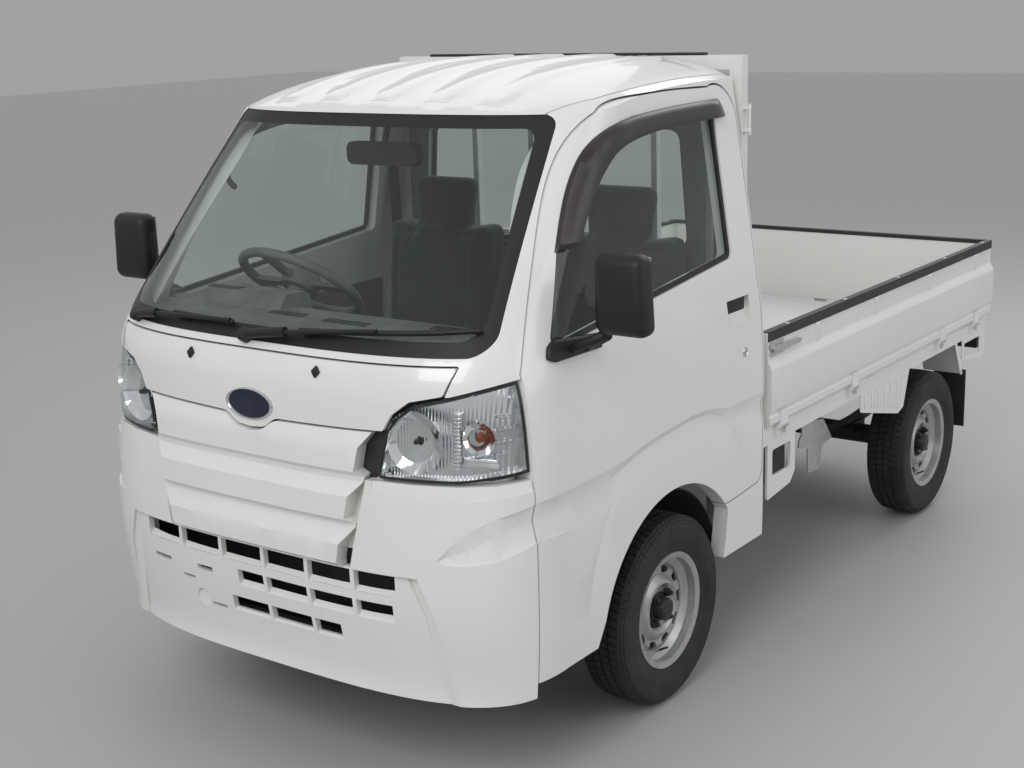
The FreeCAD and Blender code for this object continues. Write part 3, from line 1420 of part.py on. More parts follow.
def bed_fittings():
    x = bed_width / 2 - side_rail_inset
    top = side_rail_bottom_z
    plate = along(rounded([(-226, top), (-38, top), (-38, 470), (-70, 438), (-226, 422)], [0, 0, 10, 20, 6]), "x", x - 8, x)
    plate = plate.cut(along(rounded([(-194, 492), (-70, 492), (-70, 575), (-194, 575)], [10] * 4), "x", x - 20, x + 20))
    front = wheelhouse_front
    rear = wheelhouse_rear
    guard_line = [(456, top), (front[0][0] + 3, top), (front[1][0] + 3, front[1][1]), (790, 456), (463, 536)]
    guard = along(rounded(guard_line, [0, 0, 6, 20, 10]), "x", x - 3, x)
    slope = [(front[0][0], top), (front[0][0] + 3, top), (front[1][0] + 3, front[1][1]), (front[1][0], front[1][1])]
    front_guard = fuse(guard, prism_x(slope, 560, x))
    slope = [(rear[0][0], top), (rear[0][0] + 3, top), (rear[1][0] + 3, rear[1][1]), (rear[1][0], rear[1][1])]
    lip = [(rear[0][0] - 18, top), (rear[0][0] + 3, top), (rear[1][0] + 3, rear[1][1]), (rear[1][0] - 18, rear[1][1])]
    rear_guard = fuse(prism_x(slope, 560, x), prism_x(lip, x - 3, x))
    frame_line = [(1420, top), (1668, top), (1668, 500), (1640, 488), (1420, 520)]
    frame = along(rounded(frame_line, [0, 0, 12, 12, 8]), "x", x - 4, x)
    frame = frame.cut(along(rounded([(1440, 535), (1610, 512), (1610, 580), (1440, 580)], [6] * 4), "x", x - 20, x + 20))
    pieces = []
    for piece in (plate, front_guard, rear_guard, frame):
        piece = max(piece.Solids, key=lambda s: s.Volume)
        pieces += [piece, mirrored(piece)]
    export("bed_side_plates", *pieces)
    hanger = [(spare_y - 23, top), (spare_y + 23, top), (400, 500), (486, 492), (560, 404), (476, 395), (465, 317), (369, 325)]
    hanger += [(365, 412), (296, 432), (296, 452), (322, 480)]
    hanger = along(rounded(hanger, [0, 0, 20, 30, 6, 16, 6, 6, 16, 6, 6, 20]), "x", 566, 570)
    export("frame_hanger", hanger)
    rear = tail_y - side_rail_inset
    lamp = block(545, 700, rear - 52, rear, 524, top - seat_gap)
    export("tail_lamps", lamp, mirrored(lamp))
    spare_tyre = tyre_solid()
    spare_tyre.rotate(V(0, 0, 0), V(0, 1, 0), 90)
    spare_tyre.translate(V(-spare_x, spare_y, spare_z))
    disc = wheel_rim()
    disc.rotate(V(0, 0, 0), V(0, 1, 0), 90)
    disc.translate(V(-spare_x, spare_y, spare_z))
    export("spare_tyre", spare_tyre)
    export("spare_rim", disc)


def arch_liners():
    y = front_axle_y
    r = 335
    ring = Part.makeCylinder(r + 4, 285, V(398, y, 270), V(1, 0, 0))
    ring = ring.cut(Part.makeCylinder(r, 300, V(390, y, 270), V(1, 0, 0)))
    ring = ring.common(block(390, 679, y - 400, y + 400, 330, 700))
    top = seat_deck_z - floor_sheet - seat_gap
    wall = prism_x([(y - 290, 520), (y - 290, top), (y + 290, top), (y + 290, 520)], 398, 402)
    wall = wall.cut(Part.makeCylinder(r + 2, 300, V(390, y, 270), V(1, 0, 0)))
    liner = ring.fuse(wall)
    liner = liner.cut(rod((wheel_steer_x, y, 500), (wheel_steer_x, y, 700), 54))
    liner = liner.removeSplitter()
    export("arch_liners", liner, mirrored(liner))


if __name__ == "__main__":
    os.makedirs("parts", exist_ok=True)
    steps = (
        cab_panels,
        screen,
        grille_panel,
        bumper,
        nose_frame,
        headlamps,
        doors,
        cab_inside,
        wipers,
        wheels,
        front_gear,
        chassis,
        gates,
        bed,
        bed_fittings,
        arch_liners,
    )
    for step in steps:
        step()
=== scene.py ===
import bpy
import bmesh
import json
import math
from mathutils import Matrix, Vector
from mathutils.bvhtree import BVHTree


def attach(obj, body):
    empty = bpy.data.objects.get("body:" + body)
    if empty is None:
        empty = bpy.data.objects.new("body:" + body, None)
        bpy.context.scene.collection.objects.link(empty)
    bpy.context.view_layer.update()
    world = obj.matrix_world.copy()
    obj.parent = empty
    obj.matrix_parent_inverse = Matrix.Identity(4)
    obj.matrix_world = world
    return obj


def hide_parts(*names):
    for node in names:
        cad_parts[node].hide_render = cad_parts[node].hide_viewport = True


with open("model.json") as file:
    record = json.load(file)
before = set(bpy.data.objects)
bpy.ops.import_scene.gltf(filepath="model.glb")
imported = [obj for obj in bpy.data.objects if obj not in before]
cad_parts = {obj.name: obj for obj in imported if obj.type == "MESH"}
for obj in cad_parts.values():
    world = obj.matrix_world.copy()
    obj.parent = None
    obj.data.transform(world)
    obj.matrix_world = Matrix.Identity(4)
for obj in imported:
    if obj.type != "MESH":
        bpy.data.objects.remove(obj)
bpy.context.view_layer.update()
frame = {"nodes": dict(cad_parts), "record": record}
nodes = frame["nodes"]
print("stage: frame loaded", len(nodes), "nodes")

cameraSet = {
    "place": (2.73697, -4.23568, 1.93489),
    "azimuth": 36.5957,
    "elevation": 14.1867,
    "roll": -1.87424,
    "focalPixels": 1523.06,
    "imagePixels": 1024,
    "sensorWidth": 36,
    "farthest": 60,
}


def makeCamera(s):
    a, e, roll = (math.radians(s[k]) for k in ("azimuth", "elevation", "roll"))
    back = Vector((math.sin(a) * math.cos(e), -math.cos(a) * math.cos(e), math.sin(e)))
    right = (-back).cross(Vector((0, 0, 1))).normalized()
    up = right.cross(-back)
    rightTurned = right * math.cos(roll) + up * math.sin(roll)
    upTurned = up * math.cos(roll) - right * math.sin(roll)
    data = bpy.data.cameras.new("photoCamera")
    data.sensor_width = s["sensorWidth"]
    data.lens = s["focalPixels"] / s["imagePixels"] * s["sensorWidth"]
    data.clip_end = s["farthest"]
    camera = bpy.data.objects.new("photoCamera", data)
    bpy.context.scene.collection.objects.link(camera)
    turn = Matrix((rightTurned, upTurned, back)).transposed().to_4x4()
    camera.matrix_world = Matrix.Translation(s["place"]) @ turn
    bpy.context.scene.camera = camera


makeCamera(cameraSet)
bpy.context.scene.view_settings.view_transform = "Standard"
print("stage: camera placed")


# Materials


def newMaterial(name):
    material = bpy.data.materials.new(name)
    material.use_nodes = True
    tree = material.node_tree
    shader = tree.nodes["Principled BSDF"]
    return material, tree, shader


def objectNoise(tree, scale, detail):
    coords = tree.nodes.new("ShaderNodeTexCoord")
    noise = tree.nodes.new("ShaderNodeTexNoise")
    noise.inputs["Scale"].default_value = scale
    noise.inputs["Detail"].default_value = detail
    tree.links.new(coords.outputs["Object"], noise.inputs["Vector"])
    return noise


def tintShader(tree, shader, tone, low, high, stops=(0.3, 0.7)):
    ramp = tree.nodes.new("ShaderNodeValToRGB")
    first, last = ramp.color_ramp.elements
    first.position = stops[0]
    first.color = (*low, 1)
    last.position = stops[1]
    last.color = (*high, 1)
    tree.links.new(tone.outputs["Fac"], ramp.inputs["Fac"])
    tree.links.new(ramp.outputs["Color"], shader.inputs["Base Color"])


def addBump(tree, shader, height, strength, distance):
    bump = tree.nodes.new("ShaderNodeBump")
    bump.inputs["Strength"].default_value = strength
    bump.inputs["Distance"].default_value = distance
    tree.links.new(height, bump.inputs["Height"])
    tree.links.new(bump.outputs["Normal"], shader.inputs["Normal"])


paintSet = {
    "light": (0.80, 0.80, 0.775),
    "dark": (0.775, 0.775, 0.75),
    "roughness": 0.28,
    "coat": 0.7,
    "coatRoughness": 0.05,
    "peel": 260,
    "peelDepth": 0.03,
}


def makePaint(name, s):
    material, tree, shader = newMaterial(name)
    tintShader(tree, shader, objectNoise(tree, 2.2, 3), s["dark"], s["light"], (0.35, 0.65))
    shader.inputs["Roughness"].default_value = s["roughness"]
    shader.inputs["Coat Weight"].default_value = s["coat"]
    shader.inputs["Coat Roughness"].default_value = s["coatRoughness"]
    peel = objectNoise(tree, s["peel"], 2)
    addBump(tree, shader, peel.outputs["Fac"], s["peelDepth"], 0.0006)
    return material


def shades(colour, spread):
    low = tuple(c * (1 - spread) for c in colour)
    high = tuple(min(1, c * (1 + spread)) for c in colour)
    return low, high


def makePlastic(name, colour, roughness, grain=900, depth=0.25, spread=0.25):
    material, tree, shader = newMaterial(name)
    tintShader(tree, shader, objectNoise(tree, 14, 4), *shades(colour, spread))
    shader.inputs["Roughness"].default_value = roughness
    grains = objectNoise(tree, grain, 3)
    addBump(tree, shader, grains.outputs["Fac"], depth, 0.0004)
    return material


def makeMetal(name, colour, roughness, metallic=1.0, scale=60, spread=0.15):
    material, tree, shader = newMaterial(name)
    tone = objectNoise(tree, scale, 5)
    tintShader(tree, shader, tone, *shades(colour, spread))
    shader.inputs["Metallic"].default_value = metallic
    shader.inputs["Roughness"].default_value = roughness
    addBump(tree, shader, tone.outputs["Fac"], 0.08, 0.0005)
    return material


def makeGlass(name, tint, shine):
    material = bpy.data.materials.new(name)
    material.use_nodes = True
    tree = material.node_tree
    tree.nodes.remove(tree.nodes["Principled BSDF"])
    out = tree.nodes["Material Output"]
    through = tree.nodes.new("ShaderNodeBsdfTransparent")
    through.inputs["Color"].default_value = (*tint, 1)
    gloss = tree.nodes.new("ShaderNodeBsdfGlossy")
    gloss.inputs["Roughness"].default_value = 0.02
    fresnel = tree.nodes.new("ShaderNodeFresnel")
    fresnel.inputs["IOR"].default_value = shine
    side = tree.nodes.new("ShaderNodeNewGeometry")
    front = tree.nodes.new("ShaderNodeMath")  # gloss on the outer side only
    front.operation = "SUBTRACT"
    front.inputs[0].default_value = 1
    share = tree.nodes.new("ShaderNodeMath")
    share.operation = "MULTIPLY"
    mix = tree.nodes.new("ShaderNodeMixShader")
    tree.links.new(side.outputs["Backfacing"], front.inputs[1])
    tree.links.new(fresnel.outputs["Fac"], share.inputs[0])
    tree.links.new(front.outputs[0], share.inputs[1])
    tree.links.new(share.outputs[0], mix.inputs["Fac"])
    tree.links.new(through.outputs["BSDF"], mix.inputs[1])
    tree.links.new(gloss.outputs["BSDF"], mix.inputs[2])
    tree.links.new(mix.outputs["Shader"], out.inputs["Surface"])
    return material


def makeReflector(name, colour, roughness, flutes):
    material, tree, shader = newMaterial(name)
    low = tuple(c * 0.9 for c in colour)
    tintShader(tree, shader, objectNoise(tree, 24, 3), low, colour)
    shader.inputs["Metallic"].default_value = 1
    shader.inputs["Roughness"].default_value = roughness
    coords = tree.nodes.new("ShaderNodeTexCoord")
    wave = tree.nodes.new("ShaderNodeTexWave")
    wave.inputs["Scale"].default_value = flutes
    tree.links.new(coords.outputs["Object"], wave.inputs["Vector"])
    addBump(tree, shader, wave.outputs["Fac"], 0.6, 0.0015)
    return material


def makeCloth(name, colour):
    material, tree, shader = newMaterial(name)
    low = tuple(c * 0.75 for c in colour)
    tintShader(tree, shader, objectNoise(tree, 9, 4), low, colour)
    shader.inputs["Roughness"].default_value = 0.9
    shader.inputs["Sheen Weight"].default_value = 0.3
    weave = objectNoise(tree, 700, 2)
    addBump(tree, shader, weave.outputs["Fac"], 0.05, 0.0004)
    return material


finishes = {
    "paint": makePaint("whitePaint", paintSet),
    "trim": makePlastic("blackTrim", (0.006, 0.006, 0.007), 0.5),
    "edging": makePlastic("blackEdging", (0.014, 0.014, 0.014), 0.45),
    "glass": makeGlass("greenGlass", (0.90, 0.93, 0.915), 1.62),
    "lens": makeGlass("clearLens", (0.96, 0.97, 0.97), 1.35),
    "lamp": makeReflector("lampMirror", (0.80, 0.81, 0.82), 0.12, 40),
    "dash": makePlastic("dashPlastic", (0.15, 0.155, 0.16), 0.6, 700),
    "seat": makeCloth("seatCloth", (0.045, 0.046, 0.05)),
    "under": makeMetal("chassisPaint", (0.02, 0.02, 0.021), 0.5, 0.0, scale=25, spread=0.5),
    "iron": makeMetal("castIron", (0.10, 0.098, 0.095), 0.6, 0.7, scale=90, spread=0.35),
    "steel": makeMetal("dullSteel", (0.50, 0.50, 0.49), 0.40, 0.9, scale=40, spread=0.3),
    "wheel": makeMetal("wheelSilver", (0.43, 0.435, 0.44), 0.34, 0.65, scale=30, spread=0.12),
    "tyre": makePlastic("tyreRubber", (0.016, 0.016, 0.0165), 0.70, 300, 0.3, 0.4),
    "rubber": makePlastic("sheetRubber", (0.014, 0.014, 0.014), 0.60, 200, 0.2, 0.4),
    "tail": makePlastic("lampBlack", (0.02, 0.02, 0.02), 0.35, 80, 0.05),
    "liner": makePlastic("linerPlastic", (0.014, 0.014, 0.014), 0.7, 120, 0.4, 0.4),
}
smoked = makePlastic("smokedBrown", (0.030, 0.022, 0.021), 0.26, 60, 0.03, 0.2)
lampChrome = makeMetal("lampChrome", (0.86, 0.87, 0.88), 0.07, scale=40, spread=0.04)
galvanised = makeMetal("galvanised", (0.62, 0.62, 0.61), 0.34, 0.85, scale=120, spread=0.2)
hubBlack = makeMetal("hubBlack", (0.03, 0.03, 0.031), 0.42, 0.4, scale=80, spread=0.4)
amberGlass = makePlastic("amberBulb", (0.22, 0.05, 0.02), 0.15, 60, 0.03, 0.1)
redLens = makePlastic("redLens", (0.45, 0.01, 0.008), 0.12, 90, 0.1, 0.08)
amberLens = makePlastic("amberLens", (0.75, 0.22, 0.02), 0.12, 90, 0.1, 0.08)
clearWhite = makePlastic("clearWhiteLens", (0.62, 0.62, 0.62), 0.12, 90, 0.1, 0.05)
badgeBlue = makePlastic("badgeEnamel", (0.012, 0.016, 0.04), 0.12, 60, 0.02, 0.2)
chrome = makeMetal("chromePlate", (0.66, 0.67, 0.68), 0.10, scale=50, spread=0.05)
mirrorSilver = makeMetal("mirrorSilver", (0.85, 0.86, 0.87), 0.03, scale=20, spread=0.02)
greyVinyl = makePlastic("greyVinyl", (0.16, 0.163, 0.165), 0.65, 500, 0.3, 0.12)
beltWeb = makeCloth("beltWeb", (0.06, 0.06, 0.062))

sides = (("left", 1), ("right", -1))
nodeSet = {"weldReach": 0.00001, "creaseAngle": 26, "paintTop": 0.840}


def dressNode(obj, material, s):
    obj.data.materials.clear()
    obj.data.materials.append(material)
    for face in obj.data.polygons:
        face.use_smooth = True
    weld = obj.modifiers.new("weld", "WELD")
    weld.merge_threshold = s["weldReach"]
    split = obj.modifiers.new("creases", "EDGE_SPLIT")
    split.split_angle = math.radians(s["creaseAngle"])


def paintLow(node, top):  # white where the whole face lies under this height
    mesh = nodes[node].data
    mesh.materials.append(finishes["paint"])
    for face in mesh.polygons:
        if max(mesh.vertices[i].co.z for i in face.vertices) < top:
            face.material_index = 1


def lineInside(node, test):
    mesh = nodes[node].data
    mesh.materials.append(greyVinyl)
    for face in mesh.polygons:
        if test(face.center, face.normal):
            face.material_index = 1


for part in frame["record"]["subparts"]:
    dressNode(nodes[part["node"]], finishes[part["material_slot"]], nodeSet)
for node in ("gate_latch_left", "gate_latch_right", "frame_hanger"):
    nodes[node].data.materials[0] = galvanised
paintLow("nose_frame", nodeSet["paintTop"])
for side, way in sides:
    lineInside("cab_side_" + side, lambda place, normal: normal.x * way < -0.25 and place.y < -0.30)
lineInside("cab_roof", lambda place, normal: normal.z < -0.25)
lineInside("cab_back_panel", lambda place, normal: normal.y < -0.5)
print("stage: nodes dressed")


# Helpers for new pieces

helperSet = {
    "merge": 0.00001,
    "spinMerge": 0.00002,
    "skinAngle": 24,
    "crease": 32,
    "tubeSteps": 6,
    "tubeRounds": 3,
}
probes = {}


def probe(node, start, way):  # the first place where a ray meets the node, and its normal
    if node not in probes:
        mesh = nodes[node].data
        corners = [v.co for v in mesh.vertices]
        probes[node] = BVHTree.FromPolygons(corners, [p.vertices for p in mesh.polygons])
    return probes[node].ray_cast(Vector(start), Vector(way))[:2]


def addPiece(name, bm, materials, body, crease=helperSet["crease"]):
    mesh = bpy.data.meshes.new(name)
    bm.to_mesh(mesh)
    bm.free()
    for material in materials:
        mesh.materials.append(material)
    for face in mesh.polygons:
        face.use_smooth = True
    piece = bpy.data.objects.new(name, mesh)
    bpy.context.scene.collection.objects.link(piece)
    split = piece.modifiers.new("creases", "EDGE_SPLIT")
    split.split_angle = math.radians(crease)
    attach(piece, body)
    return piece


def turnVerts(bm, verts, degrees, axis, centre=(0, 0, 0)):
    turn = Matrix.Rotation(math.radians(degrees), 3, axis)
    bmesh.ops.rotate(bm, cent=centre, matrix=turn, verts=verts)


def standOn(bm, verts, place, normal):  # a shape that faces -Y is turned to the normal
    turn = normal.to_track_quat("-Y", "Z").to_matrix()
    bmesh.ops.rotate(bm, cent=(0, 0, 0), matrix=turn, verts=verts)
    bmesh.ops.translate(bm, vec=place, verts=verts)


def faceOut(bm):
    bmesh.ops.recalc_face_normals(bm, faces=bm.faces[:])


def vertsOf(geom):
    return [g for g in geom if isinstance(g, bmesh.types.BMVert)]


def insetRim(bm, width):
    rim = bmesh.ops.inset_region(
        bm, faces=bm.faces[:], thickness=width, depth=0, use_even_offset=True, use_boundary=True
    )
    return set(rim["faces"])


def roundEdges(bm, edges, radius, segments):
    bmesh.ops.bevel(
        bm,
        geom=edges,
        offset=radius,
        offset_type="OFFSET",
        affect="EDGES",
        segments=segments,
        profile=0.5,
        material=-1,
    )


def roundedBox(bm, low, high, radius, segments):
    known = set(bm.verts)
    made = bmesh.ops.create_cube(bm, size=1)["verts"]
    size = [b - a for a, b in zip(low, high)]
    middle = [(a + b) / 2 for a, b in zip(low, high)]
    bmesh.ops.scale(bm, vec=size, verts=made)
    bmesh.ops.translate(bm, vec=middle, verts=made)
    edges = list(dict.fromkeys(e for v in made for e in v.link_edges))
    roundEdges(bm, edges, radius, segments)
    return [v for v in bm.verts if v not in known]


def turnedShape(bm, profile, centre, axis, steps, closed=False):  # profile: place on the axis, radius
    known = set(bm.verts)
    axis = Vector(axis).normalized()
    across = axis.orthogonal().normalized()
    centre = Vector(centre)
    ring = [bm.verts.new(centre + axis * along + across * radius) for along, radius in profile]
    edges = [bm.edges.new(pair) for pair in zip(ring, ring[1:])]
    if closed:
        edges.append(bm.edges.new((ring[-1], ring[0])))
    bmesh.ops.spin(
        bm,
        geom=ring + edges,
        cent=centre,
        axis=axis,
        angle=math.tau,
        steps=steps,
        use_merge=True,
        use_duplicate=False,
    )
    made = [v for v in bm.verts if v not in known]
    bmesh.ops.remove_doubles(bm, verts=made, dist=helperSet["spinMerge"])
    made = [v for v in bm.verts if v not in known]
    faces = list(dict.fromkeys(f for v in made for f in v.link_faces))
    bmesh.ops.recalc_face_normals(bm, faces=faces)
    return made


def tubePiece(name, points, radius, material, body):
    data = bpy.data.curves.new(name, "CURVE")
    data.dimensions = "3D"
    line = data.splines.new("NURBS")
    line.points.add(len(points) - 1)
    for dot, place in zip(line.points, points):
        dot.co = (*place, 1)
    line.order_u = 3
    line.use_endpoint_u = True
    data.resolution_u = helperSet["tubeSteps"]
    data.bevel_depth = radius
    data.bevel_resolution = helperSet["tubeRounds"]
    data.use_fill_caps = True
    piece = bpy.data.objects.new(name, data)
    bpy.context.scene.collection.objects.link(piece)
    data.materials.append(material)
    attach(piece, body)
    return piece


def mirrorOver(bm):  # adds the twin on the truck's right side
    geom = bm.verts[:] + bm.edges[:] + bm.faces[:]
    made = bmesh.ops.duplicate(bm, geom=geom)["geom"]
    faces = [g for g in made if isinstance(g, bmesh.types.BMFace)]
    bmesh.ops.scale(bm, vec=(-1, 1, 1), verts=vertsOf(made))
    bmesh.ops.reverse_faces(bm, faces=faces)


def skinSheet(node, start, way):  # a copy of the node's smooth skin around the place that a ray meets
    bm = bmesh.new()
    bm.from_mesh(nodes[node].data)
    bmesh.ops.remove_doubles(bm, verts=bm.verts[:], dist=helperSet["merge"])
    bm.normal_update()
    place, normal = probe(node, start, way)
    seed = min(bm.faces, key=lambda f: (f.calc_center_median() - place).length + (1 - f.normal.dot(normal)))
    kept = {seed}
    border = [seed]
    limit = math.radians(helperSet["skinAngle"])
    while border:
        face = border.pop()
        for edge in face.edges:
            for other in edge.link_faces:
                if other not in kept and face.normal.angle(other.normal, 3) < limit:
                    kept.add(other)
                    border.append(other)
    bmesh.ops.delete(bm, geom=[f for f in bm.faces if f not in kept], context="FACES")
    return bm


# Wheels

wheelSet = {
    "places": {
        "front_left": (0.6525, -0.8075, 1),
        "front_right": (-0.6525, -0.8075, -1),
        "rear_left": (0.6525, 1.0925, 1),
        "rear_right": (-0.6525, 1.0925, -1),
    },
    "axleHeight": 0.270,
    "sparePlace": (-0.440, 0.308, 0.370),
}

tyreSet = {
    "blocks": 72,
    "blockHeight": 0.0053,
    "blockGap": 0.0013,
    "slant": 0.55,
    "slantRadius": 0.259,
    "slantHalf": 0.0575,
    "treadHalf": 0.056,
    "lugRadii": (0.248, 0.262),
    "lugHeight": 0.0022,
    "lugGap": 0.0016,
    "grooveFloor": 0.2643,
    "crownDrop": 0.8,
    "wall": [  # place along the axle, radius
        (0.053, 0.1535), (0.0575, 0.164), (0.063, 0.170), (0.0655, 0.180), (0.0692, 0.190), (0.0700, 0.196),
    ],
    "ridge": [
        (0.0712, 0.198), (0.0716, 0.204), (0.0722, 0.206), (0.0724, 0.214), (0.0716, 0.228), (0.0722, 0.230),
    ],
    "shoulder": [(0.0716, 0.236), (0.0698, 0.246), (0.0660, 0.2535), (0.0600, 0.2600)],
    "crown": [0.0560, 0.0285, 0.0245, 0.0025],
}


def raiseFaces(bm, faces, gap, height):
    bmesh.ops.inset_individual(bm, faces=faces, thickness=gap, depth=height, use_even_offset=True)


def makeTyre(s):
    bm = bmesh.new()
    half = s["wall"] + s["ridge"] + s["shoulder"]
    crown = [(x, s["grooveFloor"] - s["crownDrop"] * x ** 2) for x in s["crown"]]
    profile = half + crown + [(-x, r) for x, r in reversed(half + crown)]
    turnedShape(bm, profile, (0, 0, 0), (1, 0, 0), s["blocks"], closed=True)
    step = math.tau / s["blocks"]
    for v in bm.verts:
        if math.hypot(v.co.y, v.co.z) > s["slantRadius"] and abs(v.co.x) < s["slantHalf"]:
            turn = Matrix.Rotation(step * s["slant"] * abs(v.co.x) / s["treadHalf"], 3, "X")
            v.co = turn @ v.co
    bm.normal_update()
    bands = [(s["crown"][1], s["crown"][0]), (s["crown"][3], s["crown"][2])]
    blocks = []
    for face in bm.faces:
        place = face.calc_center_median()
        out = Vector((0, place.y, place.z)).normalized()
        if face.normal.dot(out) > 0.8 and any(a < abs(place.x) < b for a, b in bands):
            blocks.append(face)
    raiseFaces(bm, blocks, s["blockGap"], s["blockHeight"])
    near, far = s["shoulder"][3][0], s["shoulder"][1][0]
    lowest, highest = s["lugRadii"]
    lugs = []
    for face in bm.faces:
        place = face.calc_center_median()
        if near < abs(place.x) < far and lowest < math.hypot(place.y, place.z) < highest:
            lugs.append(face)
    raiseFaces(bm, lugs, s["lugGap"], s["lugHeight"])
    return bm


def moveToWheel(bm, x, y, way):
    if way < 0:
        turnVerts(bm, bm.verts[:], 180, "Z")
    bmesh.ops.translate(bm, vec=(x, y, wheelSet["axleHeight"]), verts=bm.verts[:])


for place, (x, y, way) in wheelSet["places"].items():
    bm = makeTyre(tyreSet)
    moveToWheel(bm, x, y, way)
    tyre = addPiece("treadTyre_" + place, bm, [finishes["tyre"]], f"wheel_{place}_body", 28)
    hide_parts("tyre_" + place)
bm = makeTyre(tyreSet)
turnVerts(bm, bm.verts[:], 90, "Y")
bmesh.ops.translate(bm, vec=wheelSet["sparePlace"], verts=bm.verts[:])
spare = addPiece("treadTyre_spare", bm, [finishes["tyre"]], "chassis", 28)
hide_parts("spare_tyre")

hubSet = {
    # cap: the first three points spin a black ring over the recess round the cap. That ring is painted shade
    # standing in for the hollow's shadow; the rest of the profile is the cap itself
    "cap": [
        (0.0236, 0.0455), (0.0262, 0.0440), (0.0275, 0.0335), (0.0490, 0.0325),
        (0.0545, 0.0300), (0.0572, 0.0240), (0.0580, 0.0160), (0.0580, 0.0),
    ],
    "nuts": 4,
    "nutCircle": 0.050,
    "nut": (0.0122, 0.0195, 0.0405, 6),  # radius, inner end, outer end, sides
    "stud": (0.0062, 0.0405, 0.0490, 12),
    "valve": (0.0035, 0.0028, 0.030),  # both radii, length
    "valvePlace": (0.040, 0, -0.121),
    "valveLean": 62,
}


def addCone(bm, segments, wide, narrow, length, lean, place):
    made = bmesh.ops.create_cone(
        bm, cap_ends=True, segments=segments, radius1=wide, radius2=narrow, depth=length
    )["verts"]
    turnVerts(bm, made, lean, "Y")
    bmesh.ops.translate(bm, vec=place, verts=made)


def makeHub(s):
    bm = bmesh.new()
    turnedShape(bm, s["cap"], (0, 0, 0), (1, 0, 0), 32)
    for i in range(s["nuts"]):
        turn = math.tau * (i + 0.5) / s["nuts"]
        y, z = s["nutCircle"] * math.cos(turn), s["nutCircle"] * math.sin(turn)
        for radius, low, high, segments in (s["nut"], s["stud"]):
            addCone(bm, segments, radius, radius * 0.93, high - low, 90, ((low + high) / 2, y, z))
    addCone(bm, 10, *s["valve"], s["valveLean"], s["valvePlace"])
    return bm


for place, (x, y, way) in wheelSet["places"].items():
    bm = makeHub(hubSet)
    moveToWheel(bm, x, y, way)
    # each piece holds the black cap, nuts and valve, and a black ring of painted shade over the recess
    addPiece("hubCapShadeRing_" + place, bm, [hubBlack], f"wheel_{place}_body")
print("stage: wheels")


# Headlamps

lampSet = {
    "rim": 0.0085,
    "behind": 0.0042,
    "depth": 0.026,
    "clear": 0.0035,
    "middle": (0.54, 0.93),
    "forwards": 1.2,  # how far the bowls turn from the lens to straight ahead
    "mainBowl": (0.490, 0.926, 0.078, 0.040),  # x, z, radius, depth
    "turnBowl": (0.632, 0.938, 0.041, 0.030),
    "bowlBehind": 0.0078,
    "bowlRings": 7,
    "facets": 30,
    "stepX": 0.678,
    "steps": ((0.985, 0.016), (0.955, 0.022), (0.925, 0.022), (0.895, 0.016)),  # height, half length
    "fluteX": 0.5870,
    "flutes": 15,
    "fluteLow": 0.866,
    "flutePitch": 0.0092,
    "shelf": (0.634, 0.880),
}


def makeLampTray(s):
    bm = skinSheet("headlamp_lenses", (0.50, -3, 0.93), (0, 1, 0))
    bm.normal_update()
    for v in bm.verts:
        v.co -= v.normal * s["behind"]
    rims = insetRim(bm, s["rim"])
    inner = [f for f in bm.faces if f not in rims]
    made = bmesh.ops.extrude_face_region(bm, geom=inner)["geom"]
    bmesh.ops.delete(bm, geom=inner, context="FACES_ONLY")
    bm.normal_update()
    floorFaces = {g for g in made if isinstance(g, bmesh.types.BMFace)}
    moves = {}
    for v in vertsOf(made):
        total = Vector()
        for f in v.link_faces:
            if f in floorFaces:
                total += f.normal
        moves[v] = total.normalized() * s["depth"]
    for v, move in moves.items():
        v.co -= move
    for face in bm.faces:
        face.material_index = 1 if face in rims else 0
    return bm


def keepBehindLens(bm, s):  # no corner of the tray reaches past its lens
    for v in bm.verts:
        for attempt in range(30):
            place, normal = probe("headlamp_lenses", (v.co.x, -3, v.co.z), (0, 1, 0))
            if place is not None:
                v.co.y = max(v.co.y, place.y + s["clear"])
                break
            v.co.x += (s["middle"][0] - v.co.x) * 0.02
            v.co.z += (s["middle"][1] - v.co.z) * 0.02


def lampAxis(x, z):
    place, normal = probe("headlamp_lenses", (x, -3, z), (0, 1, 0))
    return place, (normal + Vector((0, -lampSet["forwards"], 0))).normalized()


def addBowl(bm, x, z, radius, depth):
    place, normal = lampAxis(x, z)
    mouth = place - normal * lampSet["bowlBehind"]
    rings = lampSet["bowlRings"]
    profile = [(-depth * (1 - (i / rings) ** 2), radius * i / rings) for i in range(rings + 1)]
    made = turnedShape(bm, profile, mouth, normal, lampSet["facets"])
    for face in {f for v in made for f in v.link_faces}:
        if face.normal.dot(normal) < 0:
            face.normal_flip()


def addLampBlock(bm, place, normal, half, radius, segments, behind):
    made = roundedBox(bm, [-h for h in half], half, radius, segments)
    standOn(bm, made, place - normal * behind, normal)


bm = makeLampTray(lampSet)
keepBehindLens(bm, lampSet)
for z, length in lampSet["steps"]:
    place, normal = probe("headlamp_lenses", (lampSet["stepX"], -3, z), (0, 1, 0))
    addLampBlock(bm, place, normal, (length, 0.006, 0.004), 0.002, 1, 0.022)
mirrorOver(bm)
trays = addPiece("lampTrays", bm, [finishes["lamp"], finishes["trim"]], "chassis", 20)
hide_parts("headlamp_housings")

